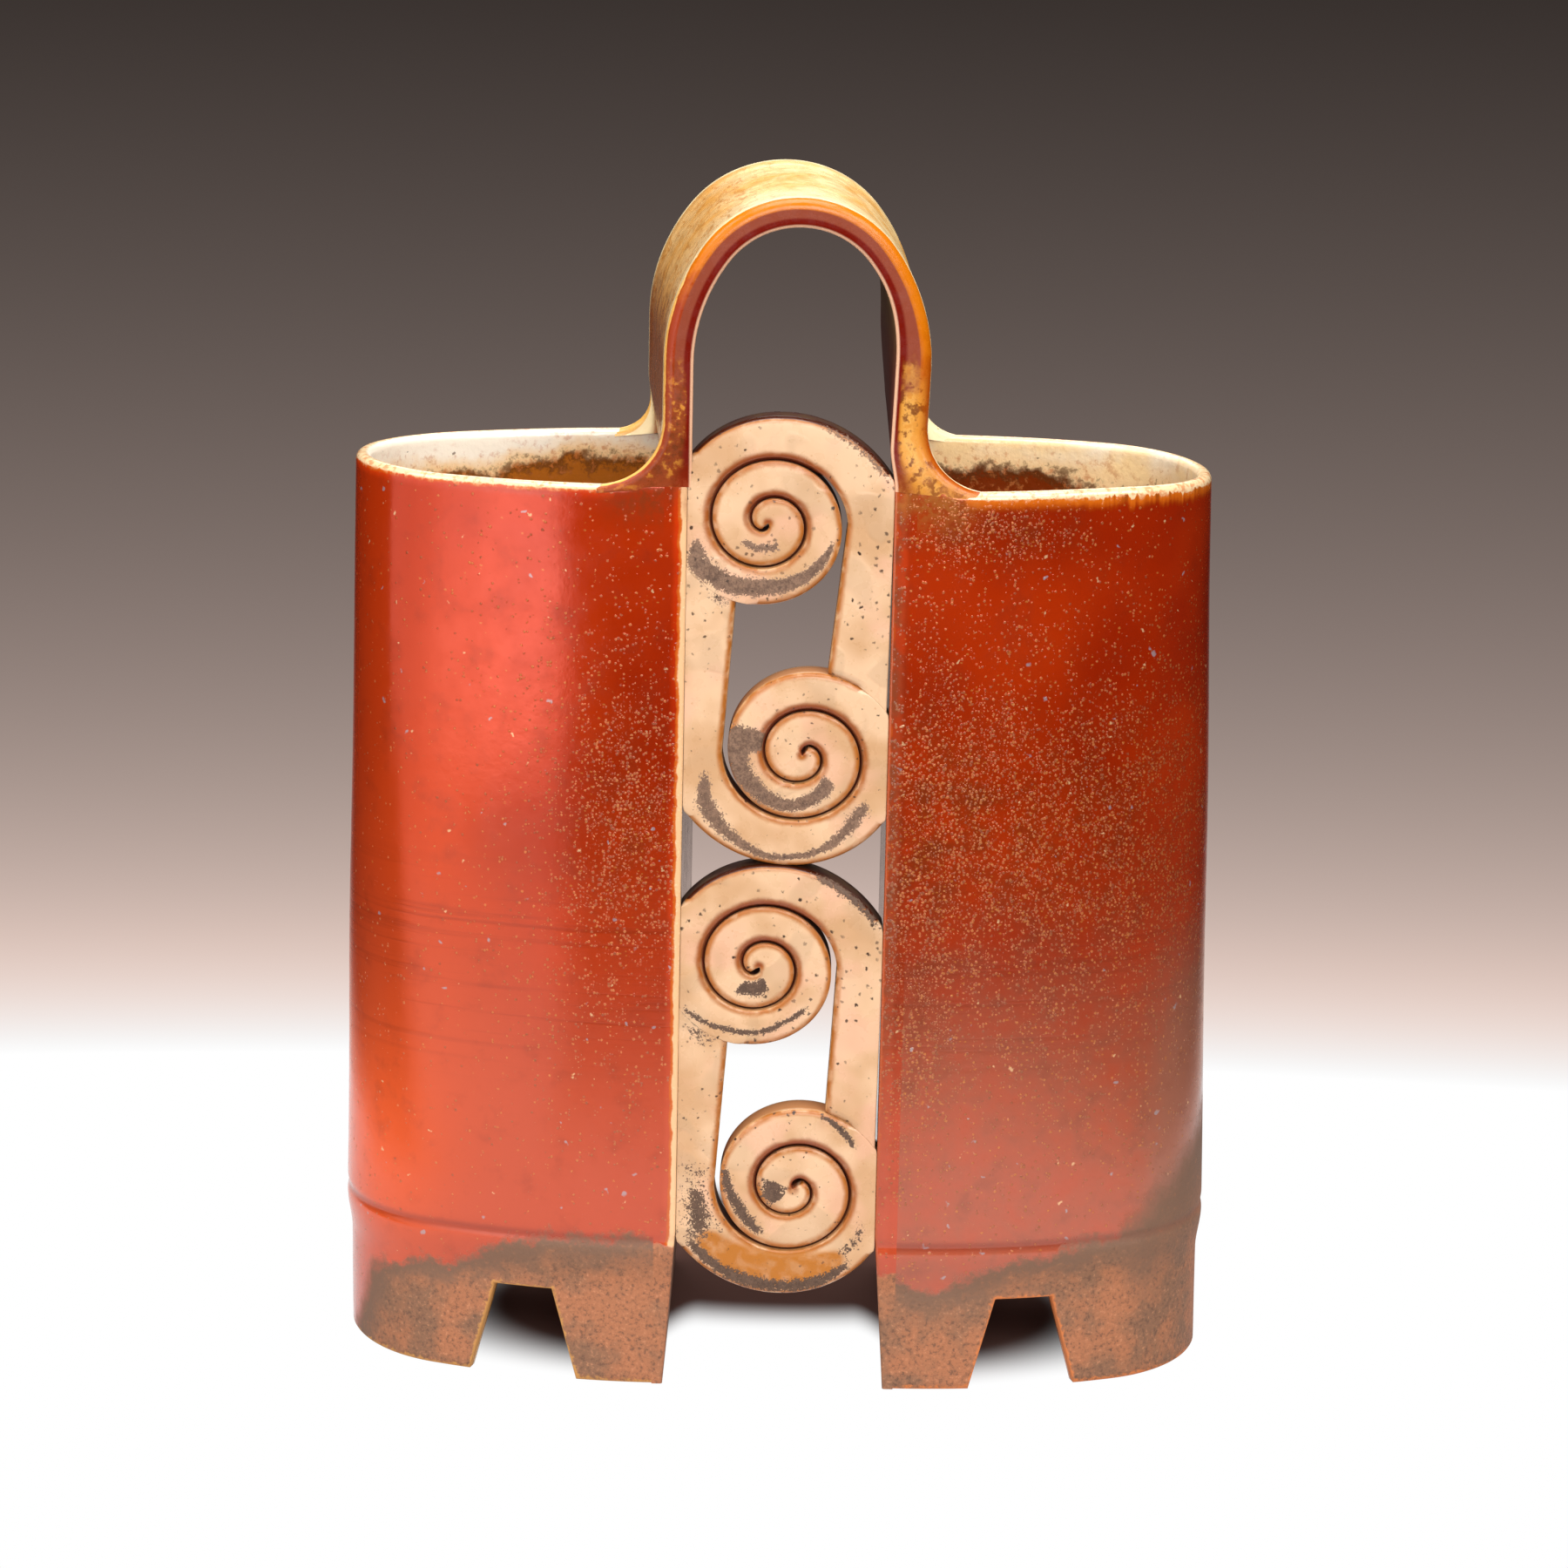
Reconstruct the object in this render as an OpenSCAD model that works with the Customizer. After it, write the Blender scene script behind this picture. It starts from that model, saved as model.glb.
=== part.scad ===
// Twin-vessel stoneware vase: two half-oval vessels, flat walls facing each other across a gap,
// a strap handle that arches over the gap and two stacked scroll units that fill it at the front.
// Millimetres, +Z up, the front faces -Y, the origin is under the middle at table level.

/* [Vessels] */
// Front to back size of the vessels at the crease, where they are widest
depth = 116; // [110:1:126]
// Distance between the centres of a vessel's flank arc and end arc, which sets its length
arc_spread = 156; // [132:1:160]
// Height of the rims above the table
rim_h = 290; // [286:1:310]
// Thickness of the curved wall at the foot
wall_t = 5.5; // [4.5:0.5:7]
// Thickness of the curved wall at the lip
lip_t = 4.6; // [4:0.2:6]
// How far the wall leans in from the crease up to the rim
lean = 4.4; // [0:0.2:5]
// Bevel on both edges of the lip
lip_bevel = 0.9; // [0.4:0.1:1.2]

/* [Flat walls and floors] */
// Width of the gap between the flat walls
gap_w = 63; // [60:1:66]
// Thickness of the flat walls
slab_t = 7; // [6:0.5:9]
// How far the gap widens on each side at the table
heel_cut = 3.6; // [0:0.2:4.5]
// Height at which the gap starts to widen towards the table
heel_h = 52; // [40:1:60]
// Height of the underside of the floors
floor_z = 35; // [33:1:40]
// Thickness of the floors
floor_t = 8; // [6:0.5:10]

/* [Foot] */
// Height of the crease where the wall steps in to the foot
crease_h = 46; // [43:1:50]
// Height of the top of the foot band
foot_h = 32; // [28:1:38]
// How far the foot band sits back from the crease
foot_in = 1.6; // [0:0.2:3]
// Height of the notch that parts each foot in two
notch_h = 30; // [20:1:31]
// Width of the notch at its top
notch_top_w = 18.5; // [10:0.5:24]
// Width of the notch at the table
notch_foot_w = 35; // [26:0.5:40]
// Distance of the notch from the middle plane
notch_x = 80.5; // [76:0.5:86]

/* [Handle] */
// Height of the top of the handle above the table
handle_h = 378.5; // [370:0.5:395]
// Thickness of the strap
strap_t = 9; // [7:0.5:11]
// Width of the strap, front to back
strap_w = 108; // [98:1:108]
// Rounding of the strap's edges
strap_edge = 3.4; // [1:0.2:3.4]
// How far the strap is turned about the vertical, in degrees
handle_turn = 3; // [0:0.5:3]
// How far the strap stands to the left of the middle plane
handle_shift = 1.5; // [0:0.5:2]
// Distance between the centres of the arch's side arcs and its crown arc: more makes it narrower above
crown_spread = 25; // [0:5:30]
// Radius of the flared feet that run from the strap out onto the front rims
flare_r = 20; // [12:1:22]
// Radius of the flared feet on the back rims
back_flare_r = 14; // [8:1:16]

/* [Scrolls] */
// Height of one scroll unit
unit_h = 140.2; // [138:0.2:141]
// Height of the lower unit's underside above the table
unit_z = 31.7; // [28:0.1:34]
// Thickness of the scrolls, front to back
scroll_t = 12; // [8:0.5:20]
// How far the scrolls sit back from the front edges of the flat walls
scroll_in = 0.6; // [0:0.1:3]
// Width of the rolled band with its slot
coil_pitch = 12.4; // [11.8:0.1:12.6]
// Distance of the slot's mouth from the coil's eye
coil_r = 23.7; // [23.2:0.1:24]
// Sideways distance of a coil's eye from the middle of its unit
eye_x = 6.8; // [6:0.1:7.5]
// Height of a coil's eye above the middle of its unit
eye_z = 37.4; // [37:0.1:37.6]
// Height of a coil for its width, as a rolled coil sags a little
coil_squash = 0.95; // [0.92:0.01:1]
// Width of the slot between the turns
slot_w = 1.2; // [0.8:0.1:1.6]
// How much more the slot opens at its mouth
mouth_w = 1.8; // [0:0.1:2.4]
// How much thicker the band is where the arch runs into the leg
shoulder_w = 8; // [4:0.5:10]

/* [Hidden] */
$fn = 180;
through = 10;                     // how far a cut runs past the face it opens

// Plan of a vessel: a flank arc, the end arc and a second flank arc, all tangent.
// The arcs meet on the line through their centres, which leans as a 44 : 117 : 125 triangle does.
half_gap = gap_w / 2;
half_d = depth / 2;
seam = [0.352, 0.936];            // direction of that line: across and front to back
joint_x = half_gap + slab_t;      // plane where the curved wall meets the flat wall
flank_y = arc_spread * seam[1];   // distance of the flank arcs' centres from the middle
flank_r = flank_y + half_d;
end_x = joint_x + arc_spread * seam[0];
end_r = flank_r - arc_spread;
seam_l = flank_r + through;       // length of the wedges' sides, past the wall
inner_in = foot_in + wall_t;      // the inner face, measured in from the crease

// Handle
arch_x = half_gap + strap_t / 2;  // middle of the strap's legs
crown_dir = [0.8, 0.6];           // direction in which a side arc runs into the crown arc
side_r = arch_x + crown_spread * crown_dir[0];
crown_r = side_r - crown_spread;
crown_z = handle_h - strap_t / 2 - crown_r;
spring_z = crown_z - crown_spread * crown_dir[1];
arch_l = side_r + through;        // length of the wedges' sides, past the strap
flare_x = 40;                     // flared feet start here, or at the leg where it stands further in
lip_y = half_d - lean;            // front face of the lip at the flat walls

// Scrolls
half_unit = unit_h / 2;
panel_lean = atan2(lean, rim_h - crease_h);
turn_step = 5;                    // degrees between the points of a coil
slot_end = 600;                   // degrees that the slot turns through
mouth_turn = 50;                  // degrees over which the slot's mouth narrows
shoulder_turn = 50;               // degrees over which the shoulder thins out
thin_turn = 270;                  // turn at which the band starts to give way to the slot outside it
leg_from = 210;                   // a leg's end lies on the other coil from this turn, in degrees
leg_to = 250;                     // and ends at this turn: more makes the leg's end wider
wide_leg_to = 255;                // the same for the widest leg

clay_red = [0.70, 0.22, 0.10];
clay_brown = [0.55, 0.38, 0.26];
clay_gold = [0.78, 0.50, 0.22];
clay_cream = [0.96, 0.83, 0.68];

// Section of the curved wall: x is measured outwards from the crease line, y is the height
module wall_profile() {
    polygon([
        [-foot_in, 0],
        [-foot_in, foot_h],
        [0, crease_h],
        [-lean, rim_h - lip_bevel],
        [-lean - lip_bevel, rim_h],
        [-lean - lip_t + lip_bevel, rim_h],
        [-lean - lip_t, rim_h - lip_bevel],
        [-inner_in, floor_z + floor_t],
        [-inner_in, 0]
    ]);
}

// Wedge of the plan that belongs to the front flank arc
module flank_wedge() {
    polygon([
        [joint_x, flank_y],
        [joint_x, flank_y - seam_l],
        [joint_x + seam_l * seam[0], flank_y - seam_l * seam[1]]
    ]);
}

// Wedge of the plan that belongs to the end arc
module end_wedge() {
    polygon([
        [end_x, 0],
        [end_x + seam_l * seam[0], -seam_l * seam[1]],
        [end_x + 2 * seam_l, 0],
        [end_x + seam_l * seam[0], seam_l * seam[1]]
    ]);
}

// Carries a wall section round a centre, inside a wedge of the plan
module along_arc(centre, radius) {
    intersection() {
        translate(centre)
            rotate_extrude()
                translate([radius, 0])
                    children(0);
        linear_extrude(2 * handle_h, center = true)
            children(1);
    }
}

module along_flank() {
    along_arc([joint_x, flank_y, 0], flank_r) {
        children();
        flank_wedge();
    }
}

module notch() {
    translate([notch_x, 0, 0])
        rotate([90, 0, 0])
            linear_extrude(depth + 2 * through, center = true)
                polygon([
                    [-notch_foot_w / 2, 0],
                    [-notch_top_w / 2, notch_h],
                    [notch_top_w / 2, notch_h],
                    [notch_foot_w / 2, 0]
                ]);
}

module shell() {
    difference() {
        union() {
            for (back = [0, 1])
                mirror([0, back, 0])
                    along_flank() wall_profile();
            along_arc([end_x, 0, 0], end_r) {
                wall_profile();
                end_wedge();
            }
        }
        notch();
    }
}

// Flat wall: its front and back edges follow the curved wall's section, and its heel is cut back
module inner_wall() {
    edge = [
        [half_d - foot_in, 0],
        [half_d - foot_in, foot_h],
        [half_d, crease_h],
        [lip_y, rim_h]
    ];
    far_edge = [for (i = [len(edge) - 1:-1:0]) [-edge[i][0], edge[i][1]]];
    heel = [[-through, 0], [heel_cut, 0], [0, heel_h], [-through, heel_h]];
    translate([half_gap, 0, 0])
        difference() {
            rotate([90, 0, 90])
                linear_extrude(slab_t)
                    polygon(concat(edge, far_edge));
            rotate([90, 0, 0])
                linear_extrude(depth + 2 * through, center = true)
                    polygon(heel);
        }
}

// Half oval inside the curved wall
module floor_outline() {
    for (back = [0, 1])
        mirror([0, back])
            intersection() {
                translate([joint_x, flank_y]) circle(flank_r - inner_in);
                flank_wedge();
                translate([joint_x, -half_d]) square([arc_spread, half_d]);
            }
    intersection() {
        translate([end_x, 0]) circle(end_r - inner_in);
        end_wedge();
    }
}

module vessel_floor() {
    translate([0, 0, floor_z])
        linear_extrude(floor_t)
            floor_outline();
}

// Section of the strap: a flat bar with rounded edges
module strap_section() {
    union() {
        square([strap_t, strap_w - 2 * strap_edge], center = true);
        square([strap_t - 2 * strap_edge, strap_w], center = true);
        for (x = [-1, 1], y = [-1, 1])
            translate([x * (strap_t / 2 - strap_edge), y * (strap_w / 2 - strap_edge)])
                circle(strap_edge);
    }
}

// Wedge between a centre and two of the arch's directions
module arch_wedge(centre, from, to) {
    polygon([
        centre,
        centre + arch_l * from,
        centre + arch_l * (from + to),
        centre + arch_l * to
    ]);
}

// Three-centred arch on two straight legs, drawn flat and stood up
module strap() {
    rotate([90, 0, 0]) {
        for (side = [0, 1])
            mirror([side, 0, 0])
                along_arc([arch_x - side_r, spring_z, 0], side_r) {
                    strap_section();
                    arch_wedge([arch_x - side_r, spring_z], [1, 0], crown_dir);
                }
        along_arc([0, crown_z, 0], crown_r) {
            strap_section();
            arch_wedge([0, crown_z], crown_dir, [-crown_dir[0], crown_dir[1]]);
        }
    }
    for (side = [-1, 1])
        translate([side * arch_x, 0, rim_h])
            linear_extrude(spring_z - rim_h)
                strap_section();
}

// Flared foot on the right vessel's front rim: a concave fillet as thin as the top of the lip
module flared_foot(leg_x, radius) {
    foot_t = lip_t - 2 * lip_bevel;
    start_x = leg_x - strap_edge;
    intersection() {
        union() {
            along_flank()
                translate([-lean - lip_bevel - foot_t, rim_h])
                    square([foot_t, radius]);
            translate([start_x, lip_bevel - lip_y, rim_h])
                cube([joint_x - start_x, foot_t, radius]);
        }
        rotate([90, 0, 0])
            linear_extrude(depth, center = true)
                difference() {
                    translate([start_x, rim_h]) square([strap_edge + radius, radius]);
                    translate([leg_x + radius, rim_h + radius]) circle(radius);
                }
    }
}

// One crook in the middle of its unit, seen from the front: x to the right, y up.
// The slot between the turns is a spiral that closes by one pitch a turn.
function slot_r(turn) = coil_r - coil_pitch * turn / 360;
function mouth(turn) = mouth_w * exp(-pow(turn / mouth_turn, 2));
function band_r(turn) =
    slot_r(turn - 360)
    + shoulder_w * exp(-turn / shoulder_turn)
    - slot_w / 2 * min(1, max(0, turn - thin_turn) / (360 - thin_turn))
    - mouth(turn - 360);
function in_unit(p) = [
    min(half_gap, max(-half_gap, p[0])),
    min(half_unit, max(-half_unit, p[1]))
];
function coil_point(r, turn) = in_unit([-eye_x + r * cos(turn), eye_z + coil_squash * r * sin(turn)]);

module crook(leg_end) {
    outside = [for (t = [0:turn_step:360 + slot_end]) coil_point(band_r(t), t)];
    slot_side = [for (t = [slot_end:-turn_step:0]) coil_point(slot_r(t) + slot_w / 2, t)];
    leg_tip = [for (t = [leg_end:-turn_step:leg_from]) -coil_point(band_r(t), t)];
    translate([0, scroll_t, 0])
        rotate([90, 0, 0])
            linear_extrude(scroll_t)
                polygon(concat(outside, slot_side, leg_tip));
}

module right_shell() {
    color(clay_red) shell();
}

module left_shell() {
    color(clay_red) mirror([1, 0, 0]) shell();
}

module right_inner_wall() {
    color(clay_brown) inner_wall();
}

module left_inner_wall() {
    color(clay_brown) mirror([1, 0, 0]) inner_wall();
}

module right_floor() {
    color(clay_cream) vessel_floor();
}

module left_floor() {
    color(clay_cream) mirror([1, 0, 0]) vessel_floor();
}

// The strap stands a little askew, so each flared foot starts where its leg's outer face is
module handle() {
    leg_shift = lip_y * sin(handle_turn);
    color(clay_gold) {
        translate([-handle_shift, 0, 0]) rotate([0, 0, handle_turn]) strap();
        for (side = [-1, 1], end = [-1, 1]) {
            leg_x = arch_x + strap_t / 2 - side * (end * leg_shift + handle_shift);
            mirror([(1 - side) / 2, 0, 0])
                mirror([0, (1 + end) / 2, 0])
                    flared_foot(min(flare_x, leg_x), end < 0 ? flare_r : back_flare_r);
        }
    }
}

// Places a right crook in unit 0 or 1, leaning with the walls. With half_turn 1 it is the same crook
// turned half round, which is the left one.
module scroll(unit, half_turn, leg_end) {
    color(clay_cream)
        translate([0, scroll_in - half_d, crease_h])
            rotate([-panel_lean, 0, 0])
                translate([0, 0, unit_z - crease_h + (unit + 0.5) * unit_h])
                    mirror([half_turn, 0, 0])
                        mirror([0, 0, half_turn])
                            crook(leg_end);
}

module upper_right_scroll() {
    scroll(1, 0, wide_leg_to);
}

module upper_left_scroll() {
    scroll(1, 1, leg_to);
}

module lower_right_scroll() {
    scroll(0, 0, leg_to);
}

module lower_left_scroll() {
    scroll(0, 1, leg_to);
}

left_shell();
right_shell();
left_inner_wall();
right_inner_wall();
left_floor();
right_floor();
handle();
upper_right_scroll();
upper_left_scroll();
lower_right_scroll();
lower_left_scroll();
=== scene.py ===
import math

import bmesh
import bpy
import numpy as np
from mathutils import Matrix


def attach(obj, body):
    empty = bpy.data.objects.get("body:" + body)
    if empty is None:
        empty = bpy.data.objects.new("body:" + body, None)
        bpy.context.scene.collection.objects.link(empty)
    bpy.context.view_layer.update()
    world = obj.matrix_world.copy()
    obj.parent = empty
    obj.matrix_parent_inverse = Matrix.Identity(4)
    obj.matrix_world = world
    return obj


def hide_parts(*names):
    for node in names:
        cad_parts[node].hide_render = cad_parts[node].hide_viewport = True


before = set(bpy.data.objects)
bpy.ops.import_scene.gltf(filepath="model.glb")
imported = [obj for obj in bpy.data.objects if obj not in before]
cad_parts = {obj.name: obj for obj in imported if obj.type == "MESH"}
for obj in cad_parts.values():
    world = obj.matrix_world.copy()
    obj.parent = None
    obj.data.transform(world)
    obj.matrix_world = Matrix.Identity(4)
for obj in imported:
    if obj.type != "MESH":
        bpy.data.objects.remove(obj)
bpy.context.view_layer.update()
print("frame loaded,", len(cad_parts), "nodes")

mm = 0.001                        # sizes below are in millimetres, meshes are in metres
sideSign = {"left": -1, "right": 1}

# sizes that all the clay pieces share
vessel = {
    "depth": 116,               # front to back at the crease
    "arcSpread": 156,           # between the centres of flank arc and end arc
    "seam": (0.352, 0.936),       # direction in which the two arcs meet
    "gap": 63, "slab": 7,
    "rim": 290, "lip": 4.6, "lean": 4.4, "innerIn": 7.1,
    "foot": 32, "footIn": 1.6, "crease": 46,
    "grooveUp": 2.5, "grooveReach": 1.7, "grooveDepth": 0.45,   # fine groove just over the crease
    "floorUnder": 35, "floorTop": 43,
    "heelCut": 3.6, "heelTop": 52,
    # lower edge of the red glaze: turn in degrees from the front round to the back, height
    "glazeLine": {
        "left": ((0, 48), (2, 51), (6, 48), (9.5, 50), (12.5, 46), (17, 39.5), (19, 35.5), (25, 36), (45, 31),
                 (53, 27), (58, 18), (67, 6), (80, -6), (110, -8), (140, 18), (160, 38), (180, 45)),
        "right": ((0, 39), (1.5, 35), (4, 35), (8, 38.5), (12, 43), (15, 46), (20, 51.5), (30, 56), (41, 62),
                  (53, 69), (64, 74), (90, 84), (120, 70), (150, 52), (165, 44), (180, 40)),
    },
}
rim, lean, crease = vessel["rim"], vessel["lean"], vessel["crease"]
halfLip = vessel["lip"] / 2
halfGap = vessel["gap"] / 2
halfDepth = vessel["depth"] / 2
jointX = halfGap + vessel["slab"]     # plane where curved and flat walls meet
flankY = vessel["arcSpread"] * vessel["seam"][1]
flankR = flankY + halfDepth
endX = jointX + vessel["arcSpread"] * vessel["seam"][0]
endR = flankR - vessel["arcSpread"]
tipX = endX + endR
seamTurn = math.asin(vessel["seam"][0])
halfPi = math.pi / 2


# eases from 0 to 1 with level ends
def smooth(t):
    t = np.clip(t, 0, 1)
    return t * t * (3 - 2 * t)


# n values at even steps from a to b
def between(a, b, n):
    return np.linspace(a, b, n)


# drop of a quarter round: full at distance 0, none from the radius on
def roundOff(distance, radius):
    return radius * (1 - np.sqrt(np.clip(1 - np.clip(1 - distance / radius, 0, 1) ** 2, 0, 1)))


# sum of round soft blooms, each given as strength, middle x and z, reach in x and z
def blooms(spots, x, z):
    total = sum(a * np.exp(-((x - cx) / rx) ** 2 - ((z - cz) / rz) ** 2) for a, cx, cz, rx, rz in spots)
    return np.clip(total, 0, 1)


# stretches of a section put one after another; each gives every quantity, as a number or an array
def joinStretches(*stretches):
    evened = [np.broadcast_arrays(*map(np.atleast_1d, stretch)) for stretch in stretches]
    return [np.concatenate(quantity, -1) for quantity in zip(*evened)]


# quads of a grid of rows x columns whose points are numbered row by row
def gridQuads(rows, cols, wrap=False):
    r, c = np.meshgrid(np.arange(rows - 1), np.arange(cols if wrap else cols - 1), indexing="ij")
    c2 = (c + 1) % cols
    return np.stack([r * cols + c, r * cols + c2, (r + 1) * cols + c2, (r + 1) * cols + c], -1).reshape(-1, 4)


# quads between two lines of point numbers that run side by side
def strip(a, b):
    return np.stack([a[:-1], a[1:], b[1:], b[:-1]], -1)


meshLook = {"merge": 2e-6, "speck": 1e-7, "sharp": 50}


# puts a grid of points into a mesh with point fields, closes poles and turns faces outwards;
# a grid without quads of its own is a tube, which caps can close at both ends
def clayPiece(name, grid, fields, node, glaze, quads=None, capped=False):
    rows, cols = grid.shape[:2]
    quads = gridQuads(rows, cols, wrap=True) if quads is None else quads
    ends = (0, rows - 1) if capped else ()
    loops = np.concatenate([quads.ravel()] + [row * cols + np.arange(cols) for row in ends])
    sizes = np.concatenate([np.full(len(quads), 4), np.full(len(ends), cols)]).astype(np.int32)
    starts = np.concatenate([[0], np.cumsum(sizes)[:-1]]).astype(np.int32)
    mesh = bpy.data.meshes.new(name)
    mesh.vertices.add(rows * cols)
    mesh.vertices.foreach_set("co", (grid * mm).astype(np.float32).ravel())
    mesh.loops.add(len(loops))
    mesh.loops.foreach_set("vertex_index", loops.astype(np.int32))
    mesh.polygons.add(len(sizes))
    mesh.polygons.foreach_set("loop_start", starts)
    mesh.update(calc_edges=True)
    for field, values in fields.items():
        layer = mesh.attributes.new(field, "FLOAT", "POINT")
        layer.data.foreach_set("value", np.broadcast_to(values, (rows, cols)).astype(np.float32).ravel())
    work = bmesh.new()
    work.from_mesh(mesh)
    bmesh.ops.remove_doubles(work, verts=work.verts, dist=meshLook["merge"])
    bmesh.ops.dissolve_degenerate(work, edges=work.edges, dist=meshLook["speck"])
    loose = [v for v in work.verts if not v.link_faces]
    bmesh.ops.delete(work, geom=loose, context="VERTS")
    bmesh.ops.recalc_face_normals(work, faces=work.faces)
    openEdges = sum(1 for e in work.edges if len(e.link_faces) != 2)
    work.to_mesh(mesh)
    work.free()
    mesh.polygons.foreach_set("use_smooth", np.ones(len(mesh.polygons), bool))
    mesh.set_sharp_from_angle(angle=math.radians(meshLook["sharp"]))
    mesh.materials.append(glaze)
    piece = bpy.data.objects.new(name, mesh)
    bpy.context.scene.collection.objects.link(piece)
    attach(piece, "root")
    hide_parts(node)
    print(name, len(mesh.polygons), "faces,", openEdges, "open edges")


# colours as a screen shows them, 0 to 255, turned into light
def tones(**colours):
    lights = {}
    for name, rgb in colours.items():
        c = np.array(rgb) / 255
        lights[name] = (*np.where(c <= 0.04045, c / 12.92, ((c + 0.055) / 1.055) ** 2.4), 1)
    return lights


# method that joins a wire and another value in a Math node, in this order or swapped
def mathStep(operation, swapped=False):
    def joinValues(wire, other=0):
        return wire.bench.calc(operation, *((other, wire) if swapped else (wire, other)))
    return joinValues


# an output of a node, which adds, multiplies and so on like a number
class Wire:
    def __init__(self, bench, socket):
        self.bench, self.socket = bench, socket

    # another output of the same node
    def __getitem__(self, output):
        return Wire(self.bench, self.socket.node.outputs[output])

    __add__, __sub__, __mul__, __truediv__ = map(mathStep, ("ADD", "SUBTRACT", "MULTIPLY", "DIVIDE"))
    __rsub__, __rtruediv__ = mathStep("SUBTRACT", True), mathStep("DIVIDE", True)
    most, least, __abs__ = map(mathStep, ("MAXIMUM", "MINIMUM", "ABSOLUTE"))

    # eased step from a to b as the value goes from low to high
    def step(self, low, high, a=0, b=1):
        ends = {0: self, 1: low, 2: high, 3: a, 4: b}
        return self.bench.put("MapRange", ends, interpolation_type="SMOOTHSTEP")


# a node tree at work: each call adds a node and gives its first output;
# an input is a wire, a value, or the name of a value in the look
class NodeBench:
    def __init__(self, tree, look):
        self.tree, self.look = tree, look

    def feed(self, node, inputs):
        for key, value in inputs.items():
            if isinstance(value, Wire):
                self.tree.links.new(value.socket, node.inputs[key])
            else:
                node.inputs[key].default_value = self.look[value] if isinstance(value, str) else value

    def put(self, kind, inputs, **settings):
        node = self.tree.nodes.new("ShaderNode" + kind)
        for name, value in settings.items():
            setattr(node, name, value)
        self.feed(node, inputs)
        return Wire(self, node.outputs[0])

    def calc(self, operation, a, b=0):
        return self.put("Math", {0: a, 1: b}, operation=operation)

    # value b taking over from value a with the share
    def mix(self, share, a, b):
        return self.put("Mix", {0: share, 2: a, 3: b})

    # share of colour b laid over colour a
    def lay(self, share, a, b):
        return self.put("Mix", {0: share, 6: a, 7: b}, data_type="RGBA")[2]

    # coats over a colour, each given as its share and its own colour
    def coats(self, colour, *layers):
        for share, coat in layers:
            colour = self.lay(share, colour, coat)
        return colour

    def noise(self, at, scale, detail=2, rough=0.5, twist=0):
        return self.put("TexNoise", {"Vector": at, "Scale": scale, "Detail": detail, "Roughness": rough,
                                     "Distortion": twist})

    def stretch(self, at, by):
        return self.put("VectorMath", {0: at, 1: by}, operation="MULTIPLY")

    def scaled(self, at, by):
        return self.put("VectorMath", {0: at, "Scale": by}, operation="SCALE")

    def split(self, at):
        parts = self.put("SeparateXYZ", {0: at})
        return [parts[i] for i in range(3)]

    def fields(self, *names):
        return [self.put("Attribute", {}, attribute_name=name)["Fac"] for name in names]

    # places a node group
    def place(self, group, **inputs):
        return self.put("Group", inputs, node_tree=bpy.data.node_groups[group])

    def specks(self, at, scale, share, size):
        return self.place("glazeSpecks", at=at, scale=scale, share=share, size=size)

    # 1 for rays that come straight from the camera, and 1 for those or for rays that surfaces pass on
    def seenRays(self):
        rays = self.put("LightPath", {})
        straight = rays["Is Camera Ray"]
        return straight, straight.most(rays["Is Glossy Ray"].most(rays["Is Transmission Ray"]))


socketKinds = {"at": "Vector", "colour": "Color"}     # all other sockets of groups are values


# new node group: its bench, its inputs and its end node
def newGroup(name, look, inputs, outputs):
    tree = bpy.data.node_groups.new(name, "ShaderNodeTree")
    for way, labels in (("INPUT", inputs), ("OUTPUT", outputs)):
        for label in labels:
            kind = "NodeSocket" + socketKinds.get(label, "Float")
            tree.interface.new_socket(label, in_out=way, socket_type=kind)
    bench = NodeBench(tree, look)
    start = tree.nodes.new("NodeGroupInput")
    return bench, [Wire(bench, start.outputs[label]) for label in inputs], tree.nodes.new("NodeGroupOutput")


# new material: its bench, its Principled shader and the Object coordinates, as a rule in millimetres
def newGlaze(name, look, perMetre=1 / mm):
    material = bpy.data.materials.new(name)
    material.use_nodes = True
    bench = NodeBench(material.node_tree, look)
    at = bench.scaled(bench.put("TexCoord", {})["Object"], perMetre)
    return material, bench, material.node_tree.nodes["Principled BSDF"], at


# joins colour, roughness and relief to the shader; depth is the relief's height in millimetres
def finishGlaze(bench, shader, colour, rough, height, depth, strength=0.5):
    relief = bench.put("Bump", {"Height": height, "Distance": depth * mm, "Strength": strength})
    bench.feed(shader, {"Base Color": colour, "Roughness": rough, "Normal": relief})


# group: dots in random cells; share is how many cells have one, size its reach in cells
def makeSpecks():
    b, (at, scale, share, size), result = newGroup("glazeSpecks", {}, ("at", "scale", "share", "size"),
                                                   ("mask", "draw"))
    cells = b.scaled(at, scale)
    ragged = b.noise(cells, 2.8, 1)["Color"]
    cells = b.put("VectorMath", {0: ragged, 1: (0.5, 0.5, 0.5), 2: cells}, operation="MULTIPLY_ADD")
    cell = b.put("TexVoronoi", {"Vector": cells, "Scale": 1})
    chance = b.put("SeparateColor", {0: cell["Color"]})
    reach = size * chance[1].step(0, 1, 0.3, 1.15)
    dot = b.put("MapRange", {0: cell["Distance"], 1: reach, 2: reach * 0.55, 3: 0, 4: 1})
    b.feed(result, {"mask": dot * b.calc("LESS_THAN", chance[0], share), "draw": chance[2]})


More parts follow.
